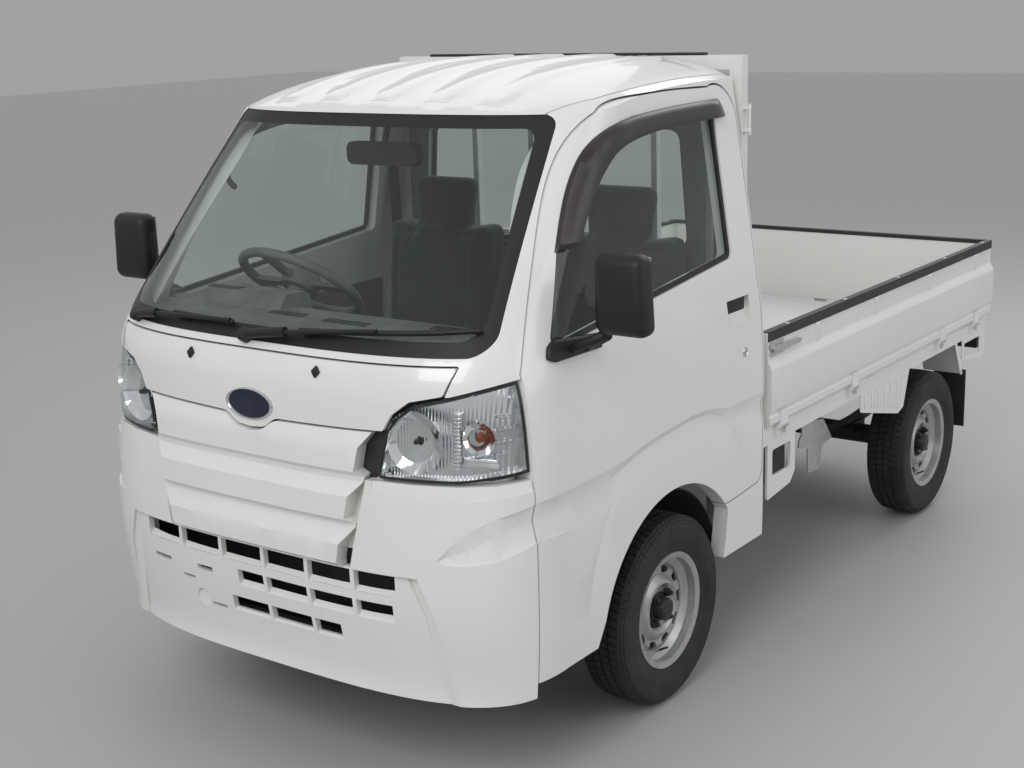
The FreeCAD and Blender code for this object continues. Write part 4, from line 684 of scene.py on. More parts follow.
bm = bmesh.new()
addBowl(bm, *lampSet["mainBowl"])
addBowl(bm, *lampSet["turnBowl"])
for i in range(lampSet["flutes"]):  # upright flutes between the two bowls
    place, normal = lampAxis(lampSet["fluteX"], lampSet["fluteLow"] + i * lampSet["flutePitch"])
    addLampBlock(bm, place, normal, (0.0085, 0.007, 0.0044), 0.0022, 2, 0.017)
place, normal = lampAxis(*lampSet["shelf"])
addLampBlock(bm, place, normal, (0.044, 0.008, 0.011), 0.004, 2, 0.020)
mirrorOver(bm)
bowls = addPiece("lampBowls", bm, [lampChrome], "chassis", 26)
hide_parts("headlamp_housings")

bulbSet = {
    "behind": 0.009,
    "main": [
        (-0.030, 0.012), (-0.022, 0.012), (-0.021, 0.007), (-0.010, 0.007), (-0.004, 0.005), (-0.003, 0.0),
    ],
    "amber": [
        (-0.026, 0.013), (-0.020, 0.013), (-0.019, 0.009), (-0.010, 0.0115), (-0.003, 0.009), (0.001, 0.0),
    ],
}
for name, spot, material, profile in (
    ("mainBulbs", lampSet["mainBowl"], hubBlack, bulbSet["main"]),
    ("amberBulbs", lampSet["turnBowl"], amberGlass, bulbSet["amber"]),
):
    bm = bmesh.new()
    place, normal = lampAxis(spot[0], spot[1])
    turnedShape(bm, profile, place - normal * bulbSet["behind"], normal, 20)
    mirrorOver(bm)
    addPiece(name, bm, [material], "chassis")
print("stage: headlamps")


# Badge, nozzles and wipers

badgeSet = {
    "width": 0.0825,
    "height": 0.0405,
    "centre": 0.972,
    "plate": [(-0.0035, 0.0), (-0.0035, 0.60), (-0.0025, 0.86), (0.0005, 0.88)],  # lift, share of the width
    "ring": [(0.0005, 0.855), (-0.0035, 0.87), (-0.0062, 0.91), (-0.0058, 0.96), (0.0008, 1.0)],
}


def seatOnLid(bm):  # bends a flat shape on to the lid
    way = Vector((0, 1, 0))
    for v in bm.verts:
        side = v.co - way * v.co.dot(way)
        place, normal = probe("front_lid", side - way * 3, way)
        if place is not None:
            v.co = place + way * v.co.dot(way)


def makeBadge(profile, s):
    bm = bmesh.new()
    turnedShape(bm, [(lift, share * s["width"]) for lift, share in profile], (0, 0, 0), (0, 1, 0), 64)
    bmesh.ops.scale(bm, vec=(1, 1, s["height"] / s["width"]), verts=bm.verts[:])
    bmesh.ops.translate(bm, vec=(0, 0, s["centre"]), verts=bm.verts[:])
    seatOnLid(bm)
    faceOut(bm)
    return bm


addPiece("badgePlate", makeBadge(badgeSet["plate"], badgeSet), [badgeBlue], "front_lid_body")
addPiece("badgeRing", makeBadge(badgeSet["ring"], badgeSet), [chrome], "front_lid_body")

nozzleSet = {"x": 0.220, "z": 1.075, "half": (0.0105, 0.004, 0.0105), "round": 0.0028, "lift": 0.0025}


def makeNozzles(s):
    bm = bmesh.new()
    for x in (-s["x"], s["x"]):
        place, normal = probe("front_lid", (x, -3, s["z"]), (0, 1, 0))
        made = roundedBox(bm, [-h for h in s["half"]], s["half"], s["round"], 2)
        turnVerts(bm, made, 45, "Y")
        bmesh.ops.scale(bm, vec=(0.92, 1, 1.1), verts=made)
        standOn(bm, made, place + normal * s["lift"], normal)
    return bm


addPiece("washerNozzles", makeNozzles(nozzleSet), [finishes["trim"]], "front_lid_body")

wiperSet = {
    "arms": {"Right": ((-0.497, 1.127), (-0.388, 1.141)), "Left": ((-0.034, 1.127), (0.102, 1.143))},
    "pivotLift": 0.020,
    "elbowLift": 0.024,
    "radius": 0.0125,
    "cap": [(-0.020, 0.0150), (-0.002, 0.0185), (0.006, 0.0180), (0.011, 0.0130), (0.0130, 0.0)],
}


def onFront(x, z, out):  # a place in front of the windscreen's foot
    place, normal = probe("windscreen_seal", (x, -3, z), (0, 1, 0))
    if place is None:
        place, normal = probe("cowl_panel", (x, -3, z), (0, 1, 0))
    return place + normal * out


def addWiper(name, pivot, elbow, s):
    start = onFront(*pivot, s["pivotLift"])
    end = onFront(*elbow, s["elbowLift"])
    middle = start.lerp(end, 0.5) + Vector((0, -0.003, 0.003))
    tubePiece("wiperArm" + name, [start, middle, end], s["radius"], finishes["trim"], "chassis")
    bm = bmesh.new()
    out = (start - onFront(*pivot, 0.0)).normalized()
    turnedShape(bm, s["cap"], start, out, 24)
    addPiece("wiperCap" + name, bm, [finishes["trim"]], "chassis")


for name, (pivot, elbow) in wiperSet["arms"].items():
    addWiper(name, pivot, elbow, wiperSet)
print("stage: front fittings")


# Door details

sealSet = {"width": 0.013, "height": 0.0085}
rearSealSet = {"width": 0.014, "height": 0.006}


def paneSeal(name, node, start, way, body, s):
    bm = skinSheet(node, start, way)
    kept = insetRim(bm, s["width"])
    bmesh.ops.delete(bm, geom=[f for f in bm.faces if f not in kept], context="FACES")
    bm.normal_update()
    made = bmesh.ops.extrude_face_region(bm, geom=bm.faces[:])["geom"]
    for v in vertsOf(made):
        v.co += v.normal * s["height"]
    faceOut(bm)
    addPiece(name, bm, [finishes["rubber"]], body)


for side, way in sides:
    start = (way * 3, -0.75, 1.35)
    paneSeal("windowSeal_" + side, "door_glass_" + side, start, (-way, 0, 0), f"door_{side}_body", sealSet)
paneSeal("rearWindowSeal", "cab_glass", (0, -0.05, 1.35), (0, -1, 0), "chassis", rearSealSet)

visorSet = {
    "outer": [  # y, z along the outer edge, from the front
        (-1.2440, 1.336), (-1.1900, 1.420), (-1.1300, 1.498), (-1.0600, 1.564), (-0.9800, 1.604),
        (-0.8800, 1.626), (-0.7400, 1.637), (-0.5600, 1.643), (-0.3860, 1.645),
    ],
    "inner": [
        (-1.1780, 1.336), (-1.1360, 1.392), (-1.0830, 1.452), (-1.0220, 1.506), (-0.9560, 1.546),
        (-0.8700, 1.568), (-0.7400, 1.582), (-0.5600, 1.588), (-0.3560, 1.590),
    ],
    "section": [(0.0, 0.001), (0.06, 0.011), (0.16, 0.017), (0.40, 0.0205), (0.70, 0.0205), (1.0, 0.018)],
    "along": 72,
    "endLift": 0.35,
    "endRun": 30,
    "upwards": 0.25,
    "sheet": 0.0025,
}


skinSet = {
    "paneOut": 0.014,
    "paneStep": 0.012,
    "nearby": (  # where it looks next when a ray slips through a gap
        (0, 0), (0, 0.008), (0, -0.008), (0.008, 0), (-0.008, 0), (0, 0.02), (0.02, 0), (-0.02, -0.02),
    ),
}


def doorSkin(y, z):
    for dy, dz in skinSet["nearby"]:
        place, normal = probe("door_left", (3, y + dy, z + dz), (-1, 0, 0))
        pane, slant = probe("door_glass_left", (3, y + dy, z + dz), (-1, 0, 0))
        if pane is not None:
            pane = pane + slant * skinSet["paneOut"]
            if place is None or place.x < pane.x - skinSet["paneStep"]:
                place = pane
        if place is not None:
            return Vector((place.x, y, z))


def onLine(points, share):  # a smooth curve through the points
    span = share * (len(points) - 1)
    i = min(int(span), len(points) - 2)
    t = span - i
    a, b, c, d = (Vector(points[max(0, min(len(points) - 1, i + k))]) for k in (-1, 0, 1, 2))
    square = (2 * a - 5 * b + 4 * c - d) * t * t
    cube = (3 * b - a - 3 * c + d) * t ** 3
    return 0.5 * (2 * b + (c - a) * t + square + cube)


def makeVisor(s):
    bm = bmesh.new()
    rows = len(s["section"])
    bmesh.ops.create_grid(bm, x_segments=s["along"], y_segments=rows - 1, size=0.5)
    for v in bm.verts:
        share = v.co.x + 0.5
        across, lift = s["section"][round((v.co.y + 0.5) * (rows - 1))]
        spot = onLine(s["outer"], share).lerp(onLine(s["inner"], share), across)
        skin = doorSkin(spot.x, spot.y)
        ends = min(1.0, min(share, 1 - share) * s["endRun"])
        rise = lift * (s["endLift"] + (1 - s["endLift"]) * ends)
        v.co = skin + Vector((rise, 0, lift * s["upwards"]))
    faceOut(bm)
    if sum(f.normal.x for f in bm.faces) < 0:
        bmesh.ops.reverse_faces(bm, faces=bm.faces[:])
    bmesh.ops.solidify(bm, geom=bm.faces[:], thickness=s["sheet"])
    return bm


def addSide(bm, way):  # shapes are made on the left and turned over for the right
    if way < 0:
        bmesh.ops.scale(bm, vec=(-1, 1, 1), verts=bm.verts[:])
        bmesh.ops.reverse_faces(bm, faces=bm.faces[:])


trimSet = {
    "low": (-1.270, 0.580),
    "high": (-0.380, 1.030),
    "sheet": 0.012,
    "rest": (-0.900, 0.880),
    "knob": [(-0.004, 0.020), (0.010, 0.020), (0.014, 0.014), (0.014, 0)],
}


def makeDoorTrim(s):
    bm = bmesh.new()
    bmesh.ops.create_grid(bm, x_segments=30, y_segments=16, size=0.5)
    lost = []
    for v in bm.verts:
        y = s["low"][0] + (v.co.x + 0.5) * (s["high"][0] - s["low"][0])
        z = s["low"][1] + (v.co.y + 0.5) * (s["high"][1] - s["low"][1])
        place, normal = probe("door_left", (0.30, y, z), (1, 0, 0))
        if place is None:
            lost.append(v)
        else:
            v.co = (place.x - 0.0005, y, z)
    bmesh.ops.delete(bm, geom=lost, context="VERTS")
    faceOut(bm)
    if sum(f.normal.x for f in bm.faces) > 0:
        bmesh.ops.reverse_faces(bm, faces=bm.faces[:])
    bmesh.ops.solidify(bm, geom=bm.faces[:], thickness=-s["sheet"])
    place, normal = probe("door_left", (0.30, *s["rest"]), (1, 0, 0))
    x = place.x - s["sheet"]
    roundedBox(bm, (x - 0.046, -1.120, 0.860), (x + 0.004, -0.640, 0.905), 0.014, 3)  # armrest
    roundedBox(bm, (x - 0.016, -1.120, 0.640), (x + 0.004, -0.560, 0.760), 0.008, 2)  # pocket
    turnedShape(bm, s["knob"], (x, -0.930, 0.800), (-1, 0, 0), 20)
    return bm


lockSet = {
    "place": (-0.396, 0.926),
    "face": [
        (-0.003, 0.0145), (0.0015, 0.0145), (0.0025, 0.0125), (0.0012, 0.0105),
        (0.0012, 0.0075), (0.003, 0.0065), (0.0034, 0.0),
    ],
    "slot": (0.001, 0.0012, 0.0048),
    "lift": 0.0034,
}


def makeLock(side, way, s):
    bm = bmesh.new()
    place, normal = probe("door_" + side, (way * 3, *s["place"]), (-way, 0, 0))
    turnedShape(bm, s["face"], place, normal, 32)
    made = roundedBox(bm, [-h for h in s["slot"]], s["slot"], 0.0003, 1)
    bmesh.ops.translate(bm, vec=place + normal * s["lift"], verts=made)
    return bm


mirrorSet = {
    "glass": ((0.805, -1.2225, 1.176), (0.913, -1.2195, 1.341)),
    "head": ((0.790, -1.293, 1.156), (0.930, -1.2215, 1.352)),
    "headRound": 0.026,
    "rods": (  # start, end, radius
        ((0.716, -1.198, 1.106), (0.806, -1.246, 1.152), 0.0155),
        ((0.716, -1.268, 1.110), (0.806, -1.256, 1.152), 0.0125),
        ((0.802, -1.2515, 1.146), (0.802, -1.2515, 1.300), 0.0140),
    ),
    "foot": [
        (-1.362, 1.102), (-1.340, 1.092), (-1.142, 1.090), (-1.142, 1.126), (-1.330, 1.142), (-1.352, 1.128),
    ],
    "footHeight": 0.013,
}


def makeMirrorGlass(s):
    bm = bmesh.new()
    roundedBox(bm, *s["glass"], 0.0012, 1)
    return bm


def makeMirrorHead(s):
    bm = bmesh.new()
    roundedBox(bm, *s["head"], s["headRound"], 5)
    for v in bm.verts:
        if v.co.x > 0.86:  # the outer edge leans in towards the top
            v.co.x += (v.co.z - 1.25) * -0.05
        # the front is rounded off above and below
        v.co.y += 0.20 * max(0.0, abs(v.co.z - 1.255) - 0.060) * max(0.0, -1.225 - v.co.y) / 0.07
    for start, end, radius in s["rods"]:
        start, end = Vector(start), Vector(end)
        reach = (end - start).length
        line = [(0, 0), (0, radius * 0.9), (0.004, radius)]
        line += [(reach - 0.004, radius), (reach, radius * 0.8), (reach, 0)]
        turnedShape(bm, line, start, end - start, 20)
    return bm


def makeMirrorFoot(s):
    bm = bmesh.new()
    ring = [bm.verts.new(doorSkin(y, z) + Vector((0.0005, 0, 0))) for y, z in s["foot"]]
    bm.faces.new(ring)
    top = vertsOf(bmesh.ops.extrude_face_region(bm, geom=bm.faces[:])["geom"])
    bmesh.ops.translate(bm, vec=(s["footHeight"], 0, 0), verts=top)
    faceOut(bm)
    edges = [e for e in bm.edges if len(e.link_faces) == 2 and any(v in top for v in e.verts)]
    roundEdges(bm, edges, 0.005, 3)
    return bm


gripSet = {
    "middle": (-0.416, 1.066),
    "depth": (-0.014, 0.0035),  # from the door's skin
    "y": (-0.4800, -0.3520),
    "z": (1.0390, 1.0920),
}


def makeGrip(s):
    bm = bmesh.new()
    x = doorSkin(*s["middle"]).x
    low = (x + s["depth"][0], s["y"][0], s["z"][0])
    high = (x + s["depth"][1], s["y"][1], s["z"][1])
    roundedBox(bm, low, high, 0.0080, 3)
    return bm


for side, way in sides:
    body = f"door_{side}_body"
    addPiece("keyLock_" + side, makeLock(side, way, lockSet), [chrome], body)
    for name, bm, material, slot, crease in (
        ("mirrorGlass_", makeMirrorGlass(mirrorSet), mirrorSilver, "steel", 32),
        ("mirrorHead_", makeMirrorHead(mirrorSet), finishes["trim"], "trim", 40),
        ("mirrorFoot_", makeMirrorFoot(mirrorSet), finishes["trim"], "trim", 32),
        ("doorGrip_", makeGrip(gripSet), finishes["trim"], "trim", 32),
        ("rainVisor_", makeVisor(visorSet), smoked, "trim", 40),
    ):
        addSide(bm, way)
        piece = addPiece(name + side, bm, [material], body, crease)
        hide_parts("door_fittings_" + side)
    bm = makeDoorTrim(trimSet)
    addSide(bm, way)
    addPiece("doorTrim_" + side, bm, [greyVinyl], body)
print("stage: doors")


# Bed details

hingeSet = {
    "side": (-0.154, 0.373, 1.156, 1.511),
    "sideOut": 0.7295,
    "tail": (-0.480, 0.0, 0.480),
    "tailBack": 1.6895,
    "z": 0.647,
    "half": 0.0228,
    "radius": 0.0098,
    "bore": 0.0072,
}


def addHinge(bm, x, y, axis, s):
    half, r, bore = s["half"], s["radius"], s["bore"]
    turnedShape(bm, [(-half, bore), (-half, r), (half, r), (half, bore)], (x, y, s["z"]), axis, 24)


rivetSet = {
    "places": (-0.10, 0.32, 0.76, 1.20, 1.60),
    "x": (0.7075, 0.7135, 0.7195),  # inner edge, middle and outer edge of the strap
    "halfWidth": 0.009,
    "z": (0.9525, 0.9550),
    "head": [(0, 0.0042), (0.0012, 0.0036), (0.0018, 0)],
    "headFoot": 0.9548,
}


def makeRivets(s):
    bm = bmesh.new()
    inner, middle, outer = s["x"]
    low, high = s["z"]
    for y in s["places"]:
        roundedBox(bm, (inner, y - s["halfWidth"], low), (outer, y + s["halfWidth"], high), 0.0008, 1)
        turnedShape(bm, s["head"], (middle, y, s["headFoot"]), (0, 0, 1), 14)
    return bm


for side, way in sides:
    bm = bmesh.new()
    for y in hingeSet["side"]:
        addHinge(bm, way * hingeSet["sideOut"], y, (0, 1, 0), hingeSet)
    faceOut(bm)
    addPiece("gateHinges_" + side, bm, [galvanised], f"gate_{side}_body")
    bm = makeRivets(rivetSet)
    bmesh.ops.scale(bm, vec=(way, 1, 1), verts=bm.verts[:])
    faceOut(bm)
    addPiece("edgeRivets_" + side, bm, [galvanised], f"gate_{side}_body")

bm = bmesh.new()
for x in hingeSet["tail"]:
    addHinge(bm, x, hingeSet["tailBack"], (1, 0, 0), hingeSet)
faceOut(bm)
addPiece("tailgateHinges", bm, [galvanised], "tailgate_body")

tailSet = {
    "low": (0.550, 1.6762, 0.530),
    "high": (0.695, 1.6850, 0.592),
    "root": 0.001,
    "gap": 0.0006,
    "lenses": (("stop", 0.40, redLens), ("turn", 0.34, amberLens), ("reverse", 0.26, clearWhite)),
}


def makeTailLens(start, width, s):
    bm = bmesh.new()
    low = (start - width + s["gap"], s["low"][1] - s["root"], s["low"][2])
    high = (start - s["gap"], s["high"][1], s["high"][2])
    roundedBox(bm, low, high, 0.003, 3)
    return bm


for side, way in sides:
    start = tailSet["high"][0]
    for name, share, lens in tailSet["lenses"]:
        width = (tailSet["high"][0] - tailSet["low"][0]) * share
        bm = makeTailLens(start, width, tailSet)
        bmesh.ops.scale(bm, vec=(way, 1, 1), verts=bm.verts[:])
        faceOut(bm)
        addPiece(f"{name}Lens_{side}", bm, [lens], "chassis")
        start -= width

guardSet = {
    "pad": ((-0.512, -0.2560, 1.7575), (0.512, -0.2240, 1.7660)),
    "hookX": 0.640,
    "hookY": -0.240,
    "hookHeights": (1.5440, 1.6080),
    "barReach": 0.016,
    "barMiddle": 1.576,
    "bar": [(-0.044, 0), (-0.044, 0.0042), (0.044, 0.0042), (0.044, 0)],
}


def makeHooks(s):
    bm = bmesh.new()
    for way in (1, -1):
        x = way * s["hookX"]
        for z in s["hookHeights"]:
            made = roundedBox(bm, (-0.006, -0.011, -0.005), (0.018, 0.011, 0.005), 0.002, 1)
            bmesh.ops.scale(bm, vec=(way, 1, 1), verts=made)
            bmesh.ops.translate(bm, vec=(x, s["hookY"], z), verts=made)
        turnedShape(bm, s["bar"], (x + way * s["barReach"], s["hookY"], s["barMiddle"]), (0, 0, 1), 14)
    faceOut(bm)
    return bm


bm = bmesh.new()
roundedBox(bm, *guardSet["pad"], 0.003, 2)
addPiece("guardPad", bm, [finishes["rubber"]], "chassis")
addPiece("guardHooks", makeHooks(guardSet), [finishes["paint"]], "chassis")

ribSet = {
    "count": 6,
    "first": 0.505,
    "pitch": 0.056,
    "halfWidth": 0.013,
    "x": (0.7150, 0.7205),
    "top": 0.596,
    "plateFront": 0.463,
    "plateLow": 0.556,
    "plateSlope": 0.245,
}


def makeRibs(s):
    bm = bmesh.new()
    for i in range(s["count"]):
        y = s["first"] + i * s["pitch"]
        low = s["plateLow"] - (y - s["plateFront"]) * s["plateSlope"]  # follows the plate's lower edge
        inner, outer = s["x"]
        half = s["halfWidth"]
        roundedBox(bm, (inner, y - half, low), (outer, y + half, s["top"]), 0.0050, 3)
    mirrorOver(bm)
    return bm


addPiece("guardRibs", makeRibs(ribSet), [finishes["paint"]], "chassis")
print("stage: bed")


# Cab inside

handleSet = {
    "x": -0.585,
    "line": [
        (-1.060, 1.592), (-1.068, 1.560), (-1.090, 1.530), (-1.118, 1.492),
        (-1.128, 1.458), (-1.110, 1.430), (-1.098, 1.424),
    ],
    "radius": 0.009,
}
handleLine = [(handleSet["x"], y, z) for y, z in handleSet["line"]]
tubePiece("grabHandle", handleLine, handleSet["radius"], finishes["dash"], "chassis")

dashSet = {
    "slots": (  # x, y, length
        (-0.429, -1.318, 0.13), (-0.137, -1.375, 0.13), (0.083, -1.385, 0.15), (0.400, -1.340, 0.13),
    ),
    "slotRows": 3,
    "slotPitch": 0.011,
    "vents": ((-0.560, 1.060), (-0.075, 1.055), (0.075, 1.055), (0.560, 1.060)),
    "vaneRows": 4,
    "vanePitch": 0.0125,
    "radioMiddle": 0.985,
    "knobs": (-0.060, 0.0, 0.060),
    "knob": [(0, 0.019), (0.012, 0.017), (0.014, 0)],
    "glove": ((0.190, -1.216, 0.930), (0.520, -1.196, 1.030)),
}


def makeSlots(s):
    bm = bmesh.new()
    for x, y, length in s["slots"]:
        for row in range(s["slotRows"]):
            place, normal = probe("dashboard", (x, y + row * s["slotPitch"], 1.6), (0, 0, -1))
            if place is not None:
                made = roundedBox(bm, (-length / 2, -0.003, -0.0012), (length / 2, 0.003, 0.0012), 0.0006, 1)
                bmesh.ops.translate(bm, vec=place + Vector((0, 0, 0.0006)), verts=made)
    return bm


def makeVents(s):
    bm = bmesh.new()
    for x, z in s["vents"]:
        place, normal = probe("dashboard", (x, -0.9, z), (0, -1, 0))
        y = place.y
        roundedBox(bm, (x - 0.052, y - 0.004, z - 0.028), (x + 0.052, y + 0.006, z + 0.028), 0.006, 2)
        for row in range(s["vaneRows"]):
            step = row * s["vanePitch"]
            low = (x - 0.046, y + 0.004, z - 0.021 + step)
            high = (x + 0.046, y + 0.009, z - 0.016 + step)
            roundedBox(bm, low, high, 0.001, 1)
    place, normal = probe("dashboard", (0.0, -0.9, s["radioMiddle"]), (0, -1, 0))
    roundedBox(bm, (-0.095, place.y - 0.006, 0.958), (0.095, place.y + 0.006, 1.012), 0.005, 2)
    for x in s["knobs"]:
        turnedShape(bm, s["knob"], (x, place.y - 0.020, 0.925), (0, 1, -0.5), 24)
    return bm


addPiece("dashSlots", makeSlots(dashSet), [finishes["trim"]], "chassis")
addPiece("dashFittings", makeVents(dashSet), [finishes["trim"]], "chassis")
bm = bmesh.new()
roundedBox(bm, *dashSet["glove"], 0.006, 2)
addPiece("gloveLid", bm, [greyVinyl], "chassis")

leverSet = {
    "foot": (-0.03, -1.30, 0.400),
    "boot": [
        (0, 0.070), (0.010, 0.068), (0.030, 0.050), (0.045, 0.048),
        (0.060, 0.034), (0.075, 0.032), (0.090, 0.018), (0.095, 0.0),
    ],
    "stick": [
        (0.03, 0.0), (0.03, 0.0065), (0.345, 0.0055), (0.350, 0.014),
        (0.372, 0.021), (0.395, 0.020), (0.410, 0.010), (0.412, 0),
    ],
    "brakeBase": ((-0.045, -0.960, 0.682), (0.045, -0.600, 0.712)),
    "brakeHandle": ((-0.013, -0.960, 0.700), (0.013, -0.700, 0.724)),
    "brakePivot": (0, -0.700, 0.712),
    "brakeRise": -14,
}
pedalSet = {
    "places": (-0.430, -0.340, -0.245),
    "halfWidth": 0.030,
    "pivot": (-1.39, 0.55),
    "lean": -35,
    "stalk": [(0, 0), (0, 0.006), (0.36, 0.006), (0.36, 0)],
}

bm = bmesh.new()
turnedShape(bm, leverSet["boot"], leverSet["foot"], (0, 0.12, 1), 32)
turnedShape(bm, leverSet["stick"], leverSet["foot"], (0, 0.18, 1), 20)
addPiece("gearLever", bm, [finishes["rubber"]], "chassis")

bm = bmesh.new()
roundedBox(bm, *leverSet["brakeBase"], 0.010, 2)
made = roundedBox(bm, *leverSet["brakeHandle"], 0.008, 2)
turnVerts(bm, made, leverSet["brakeRise"], "X", leverSet["brakePivot"])
addPiece("parkingBrake", bm, [finishes["trim"]], "chassis")

bm = bmesh.new()
for x in pedalSet["places"]:
    half = pedalSet["halfWidth"]
    made = roundedBox(bm, (x - half, -1.395, 0.520), (x + half, -1.383, 0.575), 0.005, 2)
    turnVerts(bm, made, pedalSet["lean"], "X", (x, *pedalSet["pivot"]))
    turnedShape(bm, pedalSet["stalk"], (x, -1.392, 0.552), (0, -0.22, 1), 12)
addPiece("pedals", bm, [finishes["rubber"]], "chassis")

sunSet = {
    "places": (-0.300, 0.300),
    "half": (0.190, 0.072, 0.007),
    "front": -0.900,
    "back": -0.760,
    "drop": 0.016,
}


def makeSunVisors(s):
    bm = bmesh.new()
    along, across, thick = s["half"]
    for x in s["places"]:
        front, _ = probe("cab_roof", (x, s["front"], 1.45), (0, 0, 1))
        back, _ = probe("cab_roof", (x, s["back"], 1.45), (0, 0, 1))
        slope = math.atan2(back.z - front.z, back.y - front.y)
        made = roundedBox(bm, (x - along, -across, -thick), (x + along, across, thick), 0.006, 3)
        turnVerts(bm, made, math.degrees(slope), "X")
        middle = (front + back) / 2
        bmesh.ops.translate(bm, vec=(0, middle.y, middle.z - s["drop"]), verts=made)
    return bm


addPiece("sunVisors", makeSunVisors(sunSet), [greyVinyl], "chassis")

beltSet = {
    "web": ((0.610, -0.372, 0.720), (0.6125, -0.324, 1.440)),
    "anchor": ((0.600, -0.382, 1.430), (0.622, -0.322, 1.470)),
}

bm = bmesh.new()
for way in (1, -1):
    known = set(bm.verts)
    roundedBox(bm, *beltSet["web"], 0.0008, 1)
    roundedBox(bm, *beltSet["anchor"], 0.008, 2)
    made = [v for v in bm.verts if v not in known]
    bmesh.ops.scale(bm, vec=(way, 1, 1), verts=made)
faceOut(bm)
addPiece("seatBelts", bm, [beltWeb], "chassis")

hornSet = {
    "hub": (-0.330, -1.110, 1.160),
    "rake": 52,
    "pad": [(-0.020, 0.056), (0.012, 0.060), (0.028, 0.050), (0.034, 0.030), (0.035, 0)],
}

bm = bmesh.new()
rake = math.radians(hornSet["rake"])
turnedShape(bm, hornSet["pad"], hornSet["hub"], (0, math.cos(rake), math.sin(rake)), 36)
addPiece("hornPad", bm, [finishes["dash"]], "steering_wheel_body")
print("stage: cab inside")


# Seats

seatSet = {
    "cushion": ((-0.228, -1.000, 0.684), (0.228, -0.566, 0.790)),
    "back": ((-0.223, -0.545, 0.684), (0.223, -0.405, 1.250)),
    "head": ((-0.118, -0.520, 1.200), (0.118, -0.430, 1.410)),
    "backMiddle": -0.480,
    "lean": 0.085,
    "foot": 0.70,
    "taper": 0.35,
    "taperFrom": 0.80,
    "apart": 0.660,
    "voxel": 0.008,
    "pressure": 4.0,
    "frames": 20,
    "cap": 0.020,
    "lowest": 0.6805,
    "highest": 0.7995,
    "rearmost": -0.3290,
    "cushionTop": 0.74,
    "cushionPiping": 0.135,
    "cushionSeams": (-0.905, -0.800, -0.695),
    "backPiping": 0.140,
    "backSeams": (0.82, 0.94, 1.06),
    "neck": 1.215,
}


def seatShape(which, s):
    bm = bmesh.new()
    if which == "cushion":
        roundedBox(bm, *s["cushion"], 0.030, 3)
        return bm
    roundedBox(bm, *s["back"], 0.034, 3)
    roundedBox(bm, *s["head"], 0.034, 3)
    for v in bm.verts:
        lean = max(0.0, v.co.z - s["foot"]) * s["lean"]
        thin = 1 - max(0.0, v.co.z - s["taperFrom"]) * s["taper"]
        v.co.y = s["backMiddle"] + (v.co.y - s["backMiddle"]) * thin + lean
    return bm


def dip(value, centre, width, depth):  # the valley that a seam pulls into the cloth
    near = abs(value - centre) / width
    return depth * math.exp(-near * near * 2.5)


def sewCushion(co, s):
    moved = co.copy()
    if co.z > s["cushionTop"]:
        moved.z -= dip(abs(co.x), s["cushionPiping"], 0.010, 0.007)
        if abs(co.x) < s["cushionPiping"]:
            for y in s["cushionSeams"]:
                moved.z -= dip(co.y, y, 0.009, 0.0055)
        moved.z = min(moved.z, s["highest"])
    else:
        moved.z = max(moved.z, s["lowest"])
    return moved


def sewBack(co, s):
    moved = co.copy()
    if co.y < -0.47 + max(0.0, co.z - s["foot"]) * s["lean"]:
        if co.z < 1.22:
            moved.y += dip(abs(co.x), s["backPiping"], 0.010, 0.007)
            if abs(co.x) < s["backPiping"]:
                for z in s["backSeams"]:
                    moved.y += dip(co.z, z, 0.009, 0.0055)
        moved.y += dip(co.z, s["neck"], 0.010, 0.007)
    moved.z = max(moved.z, s["lowest"])
    return moved


def swell(pad, start, s):  # pressure fills the cover, and no corner moves past the cap
    cloth = pad.modifiers.new("cloth", "CLOTH")
    cloth.settings.use_pressure = True
    cloth.settings.uniform_pressure_force = s["pressure"]
    cloth.settings.effector_weights.gravity = 0
    cloth.settings.quality = 5
    cloth.settings.mass = 0.3
    cloth.settings.tension_stiffness = 12
    cloth.settings.compression_stiffness = 12
    scene = bpy.context.scene
    for number in range(1, s["frames"] + 1):
        scene.frame_set(number)
    depsgraph = bpy.context.evaluated_depsgraph_get()
    swollen = bpy.data.meshes.new_from_object(pad.evaluated_get(depsgraph))
    pad.modifiers.clear()
    scene.frame_set(1)
    for v, now, before in zip(pad.data.vertices, swollen.vertices, start):
        move = now.co - before
        if move.length > s["cap"]:
            move *= s["cap"] / move.length
        v.co = before + move


def padSeat(name, which, shift, s):
    bm = seatShape(which, s)
    mesh = bpy.data.meshes.new(name)
    bm.to_mesh(mesh)
    bm.free()
    pad = bpy.data.objects.new(name, mesh)
    bpy.context.scene.collection.objects.link(pad)
    remesh = pad.modifiers.new("remesh", "REMESH")
    remesh.mode = "VOXEL"
    remesh.voxel_size = s["voxel"]
    depsgraph = bpy.context.evaluated_depsgraph_get()
    fine = bpy.data.meshes.new_from_object(pad.evaluated_get(depsgraph))
    pad.modifiers.clear()
    pad.data = fine
    start = [v.co.copy() for v in fine.vertices]
    swell(pad, start, s)
    sew = sewCushion if which == "cushion" else sewBack
    for v in fine.vertices:
        v.co = sew(v.co, s)
        v.co.y = min(v.co.y, s["rearmost"])
        v.co.x += shift
    fine.materials.clear()
    fine.materials.append(finishes["seat"])
    for face in fine.polygons:
        face.use_smooth = True
    return pad


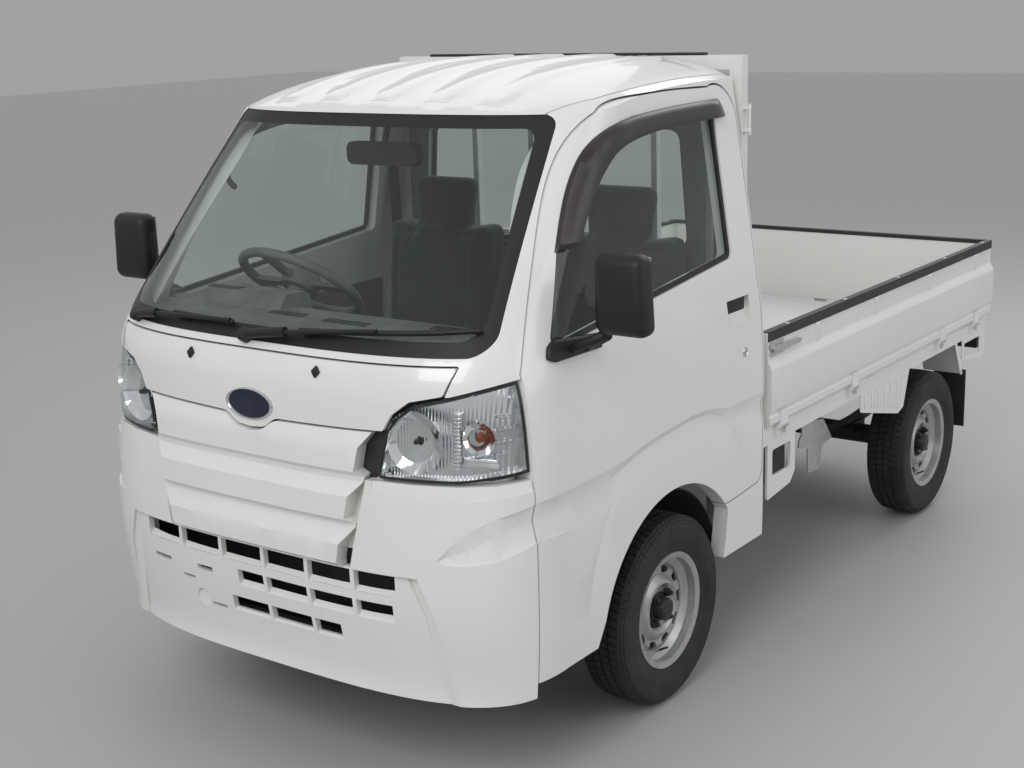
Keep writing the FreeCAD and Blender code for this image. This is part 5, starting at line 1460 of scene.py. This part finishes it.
seatPads = []
for which in ("cushion", "back"):
    first = padSeat(f"seat_{which}_left", which, seatSet["apart"] / 2, seatSet)
    second = first.copy()
    second.data = first.data.copy()
    second.name = f"seat_{which}_right"
    for v in second.data.vertices:
        v.co.x -= seatSet["apart"]
    bpy.context.scene.collection.objects.link(second)
    seatPads += [first, second]
for pad in seatPads:
    sub = pad.modifiers.new("smoothness", "SUBSURF")
    sub.levels = 1
    sub.render_levels = 1
    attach(pad, "chassis")
for pad in seatPads:
    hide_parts("seats")
print("stage: seats")


# Studio

studioSet = {
    "floorColour": (0.43, 0.43, 0.42),
    "skyColour": (0.96, 0.98, 1.0),
    "seenWall": (0.355, 0.36, 0.36),
    "skyStrength": 0.60,
    "lamps": (  # name, place, aim, size, power
        ("keyLight", (1.6, -6.4, 5.2), (0.2, -0.6, 0.6), 3.6, 172),
        ("fillLight", (6.0, 0.5, 3.0), (0.3, 0.0, 0.7), 4.0, 52),
        ("rimLight", (-3.5, 3.5, 5.0), (0.0, 0.3, 0.6), 4.0, 30),
        ("bedLight", (0.5, 4.6, 4.2), (-0.1, 0.7, 0.7), 3.0, 62),
    ),
}


def makeFloor(s):
    bpy.ops.mesh.primitive_plane_add(size=60, location=(0, 0, 0))
    floor = bpy.context.object
    floor.name = "studioFloor"
    material, _, shader = newMaterial("studioFloor")
    shader.inputs["Roughness"].default_value = 0.55
    shader.inputs["Base Color"].default_value = (*s["floorColour"], 1)
    floor.data.materials.append(material)


def makeSky(s):
    world = bpy.context.scene.world or bpy.data.worlds.new("studio")
    bpy.context.scene.world = world
    world.use_nodes = True
    tree = world.node_tree
    sky = tree.nodes["Background"]
    sky.inputs["Color"].default_value = (*s["skyColour"], 1)
    sky.inputs["Strength"].default_value = s["skyStrength"]
    seen = tree.nodes.new("ShaderNodeBackground")  # what the camera sees behind the truck
    seen.inputs["Color"].default_value = (*s["seenWall"], 1)
    path = tree.nodes.new("ShaderNodeLightPath")
    mix = tree.nodes.new("ShaderNodeMixShader")
    tree.links.new(path.outputs["Is Camera Ray"], mix.inputs["Fac"])
    tree.links.new(sky.outputs["Background"], mix.inputs[1])
    tree.links.new(seen.outputs["Background"], mix.inputs[2])
    tree.links.new(mix.outputs["Shader"], tree.nodes["World Output"].inputs["Surface"])


def makeLamps(s):
    for name, place, aim, size, power in s["lamps"]:
        data = bpy.data.lights.new(name, "AREA")
        data.energy = power
        data.size = size
        lamp = bpy.data.objects.new(name, data)
        lamp.location = place
        direction = Vector(aim) - Vector(place)
        lamp.rotation_euler = direction.to_track_quat("-Z", "Y").to_euler()
        bpy.context.scene.collection.objects.link(lamp)


makeFloor(studioSet)
makeSky(studioSet)
makeLamps(studioSet)
print("stage: studio lit")
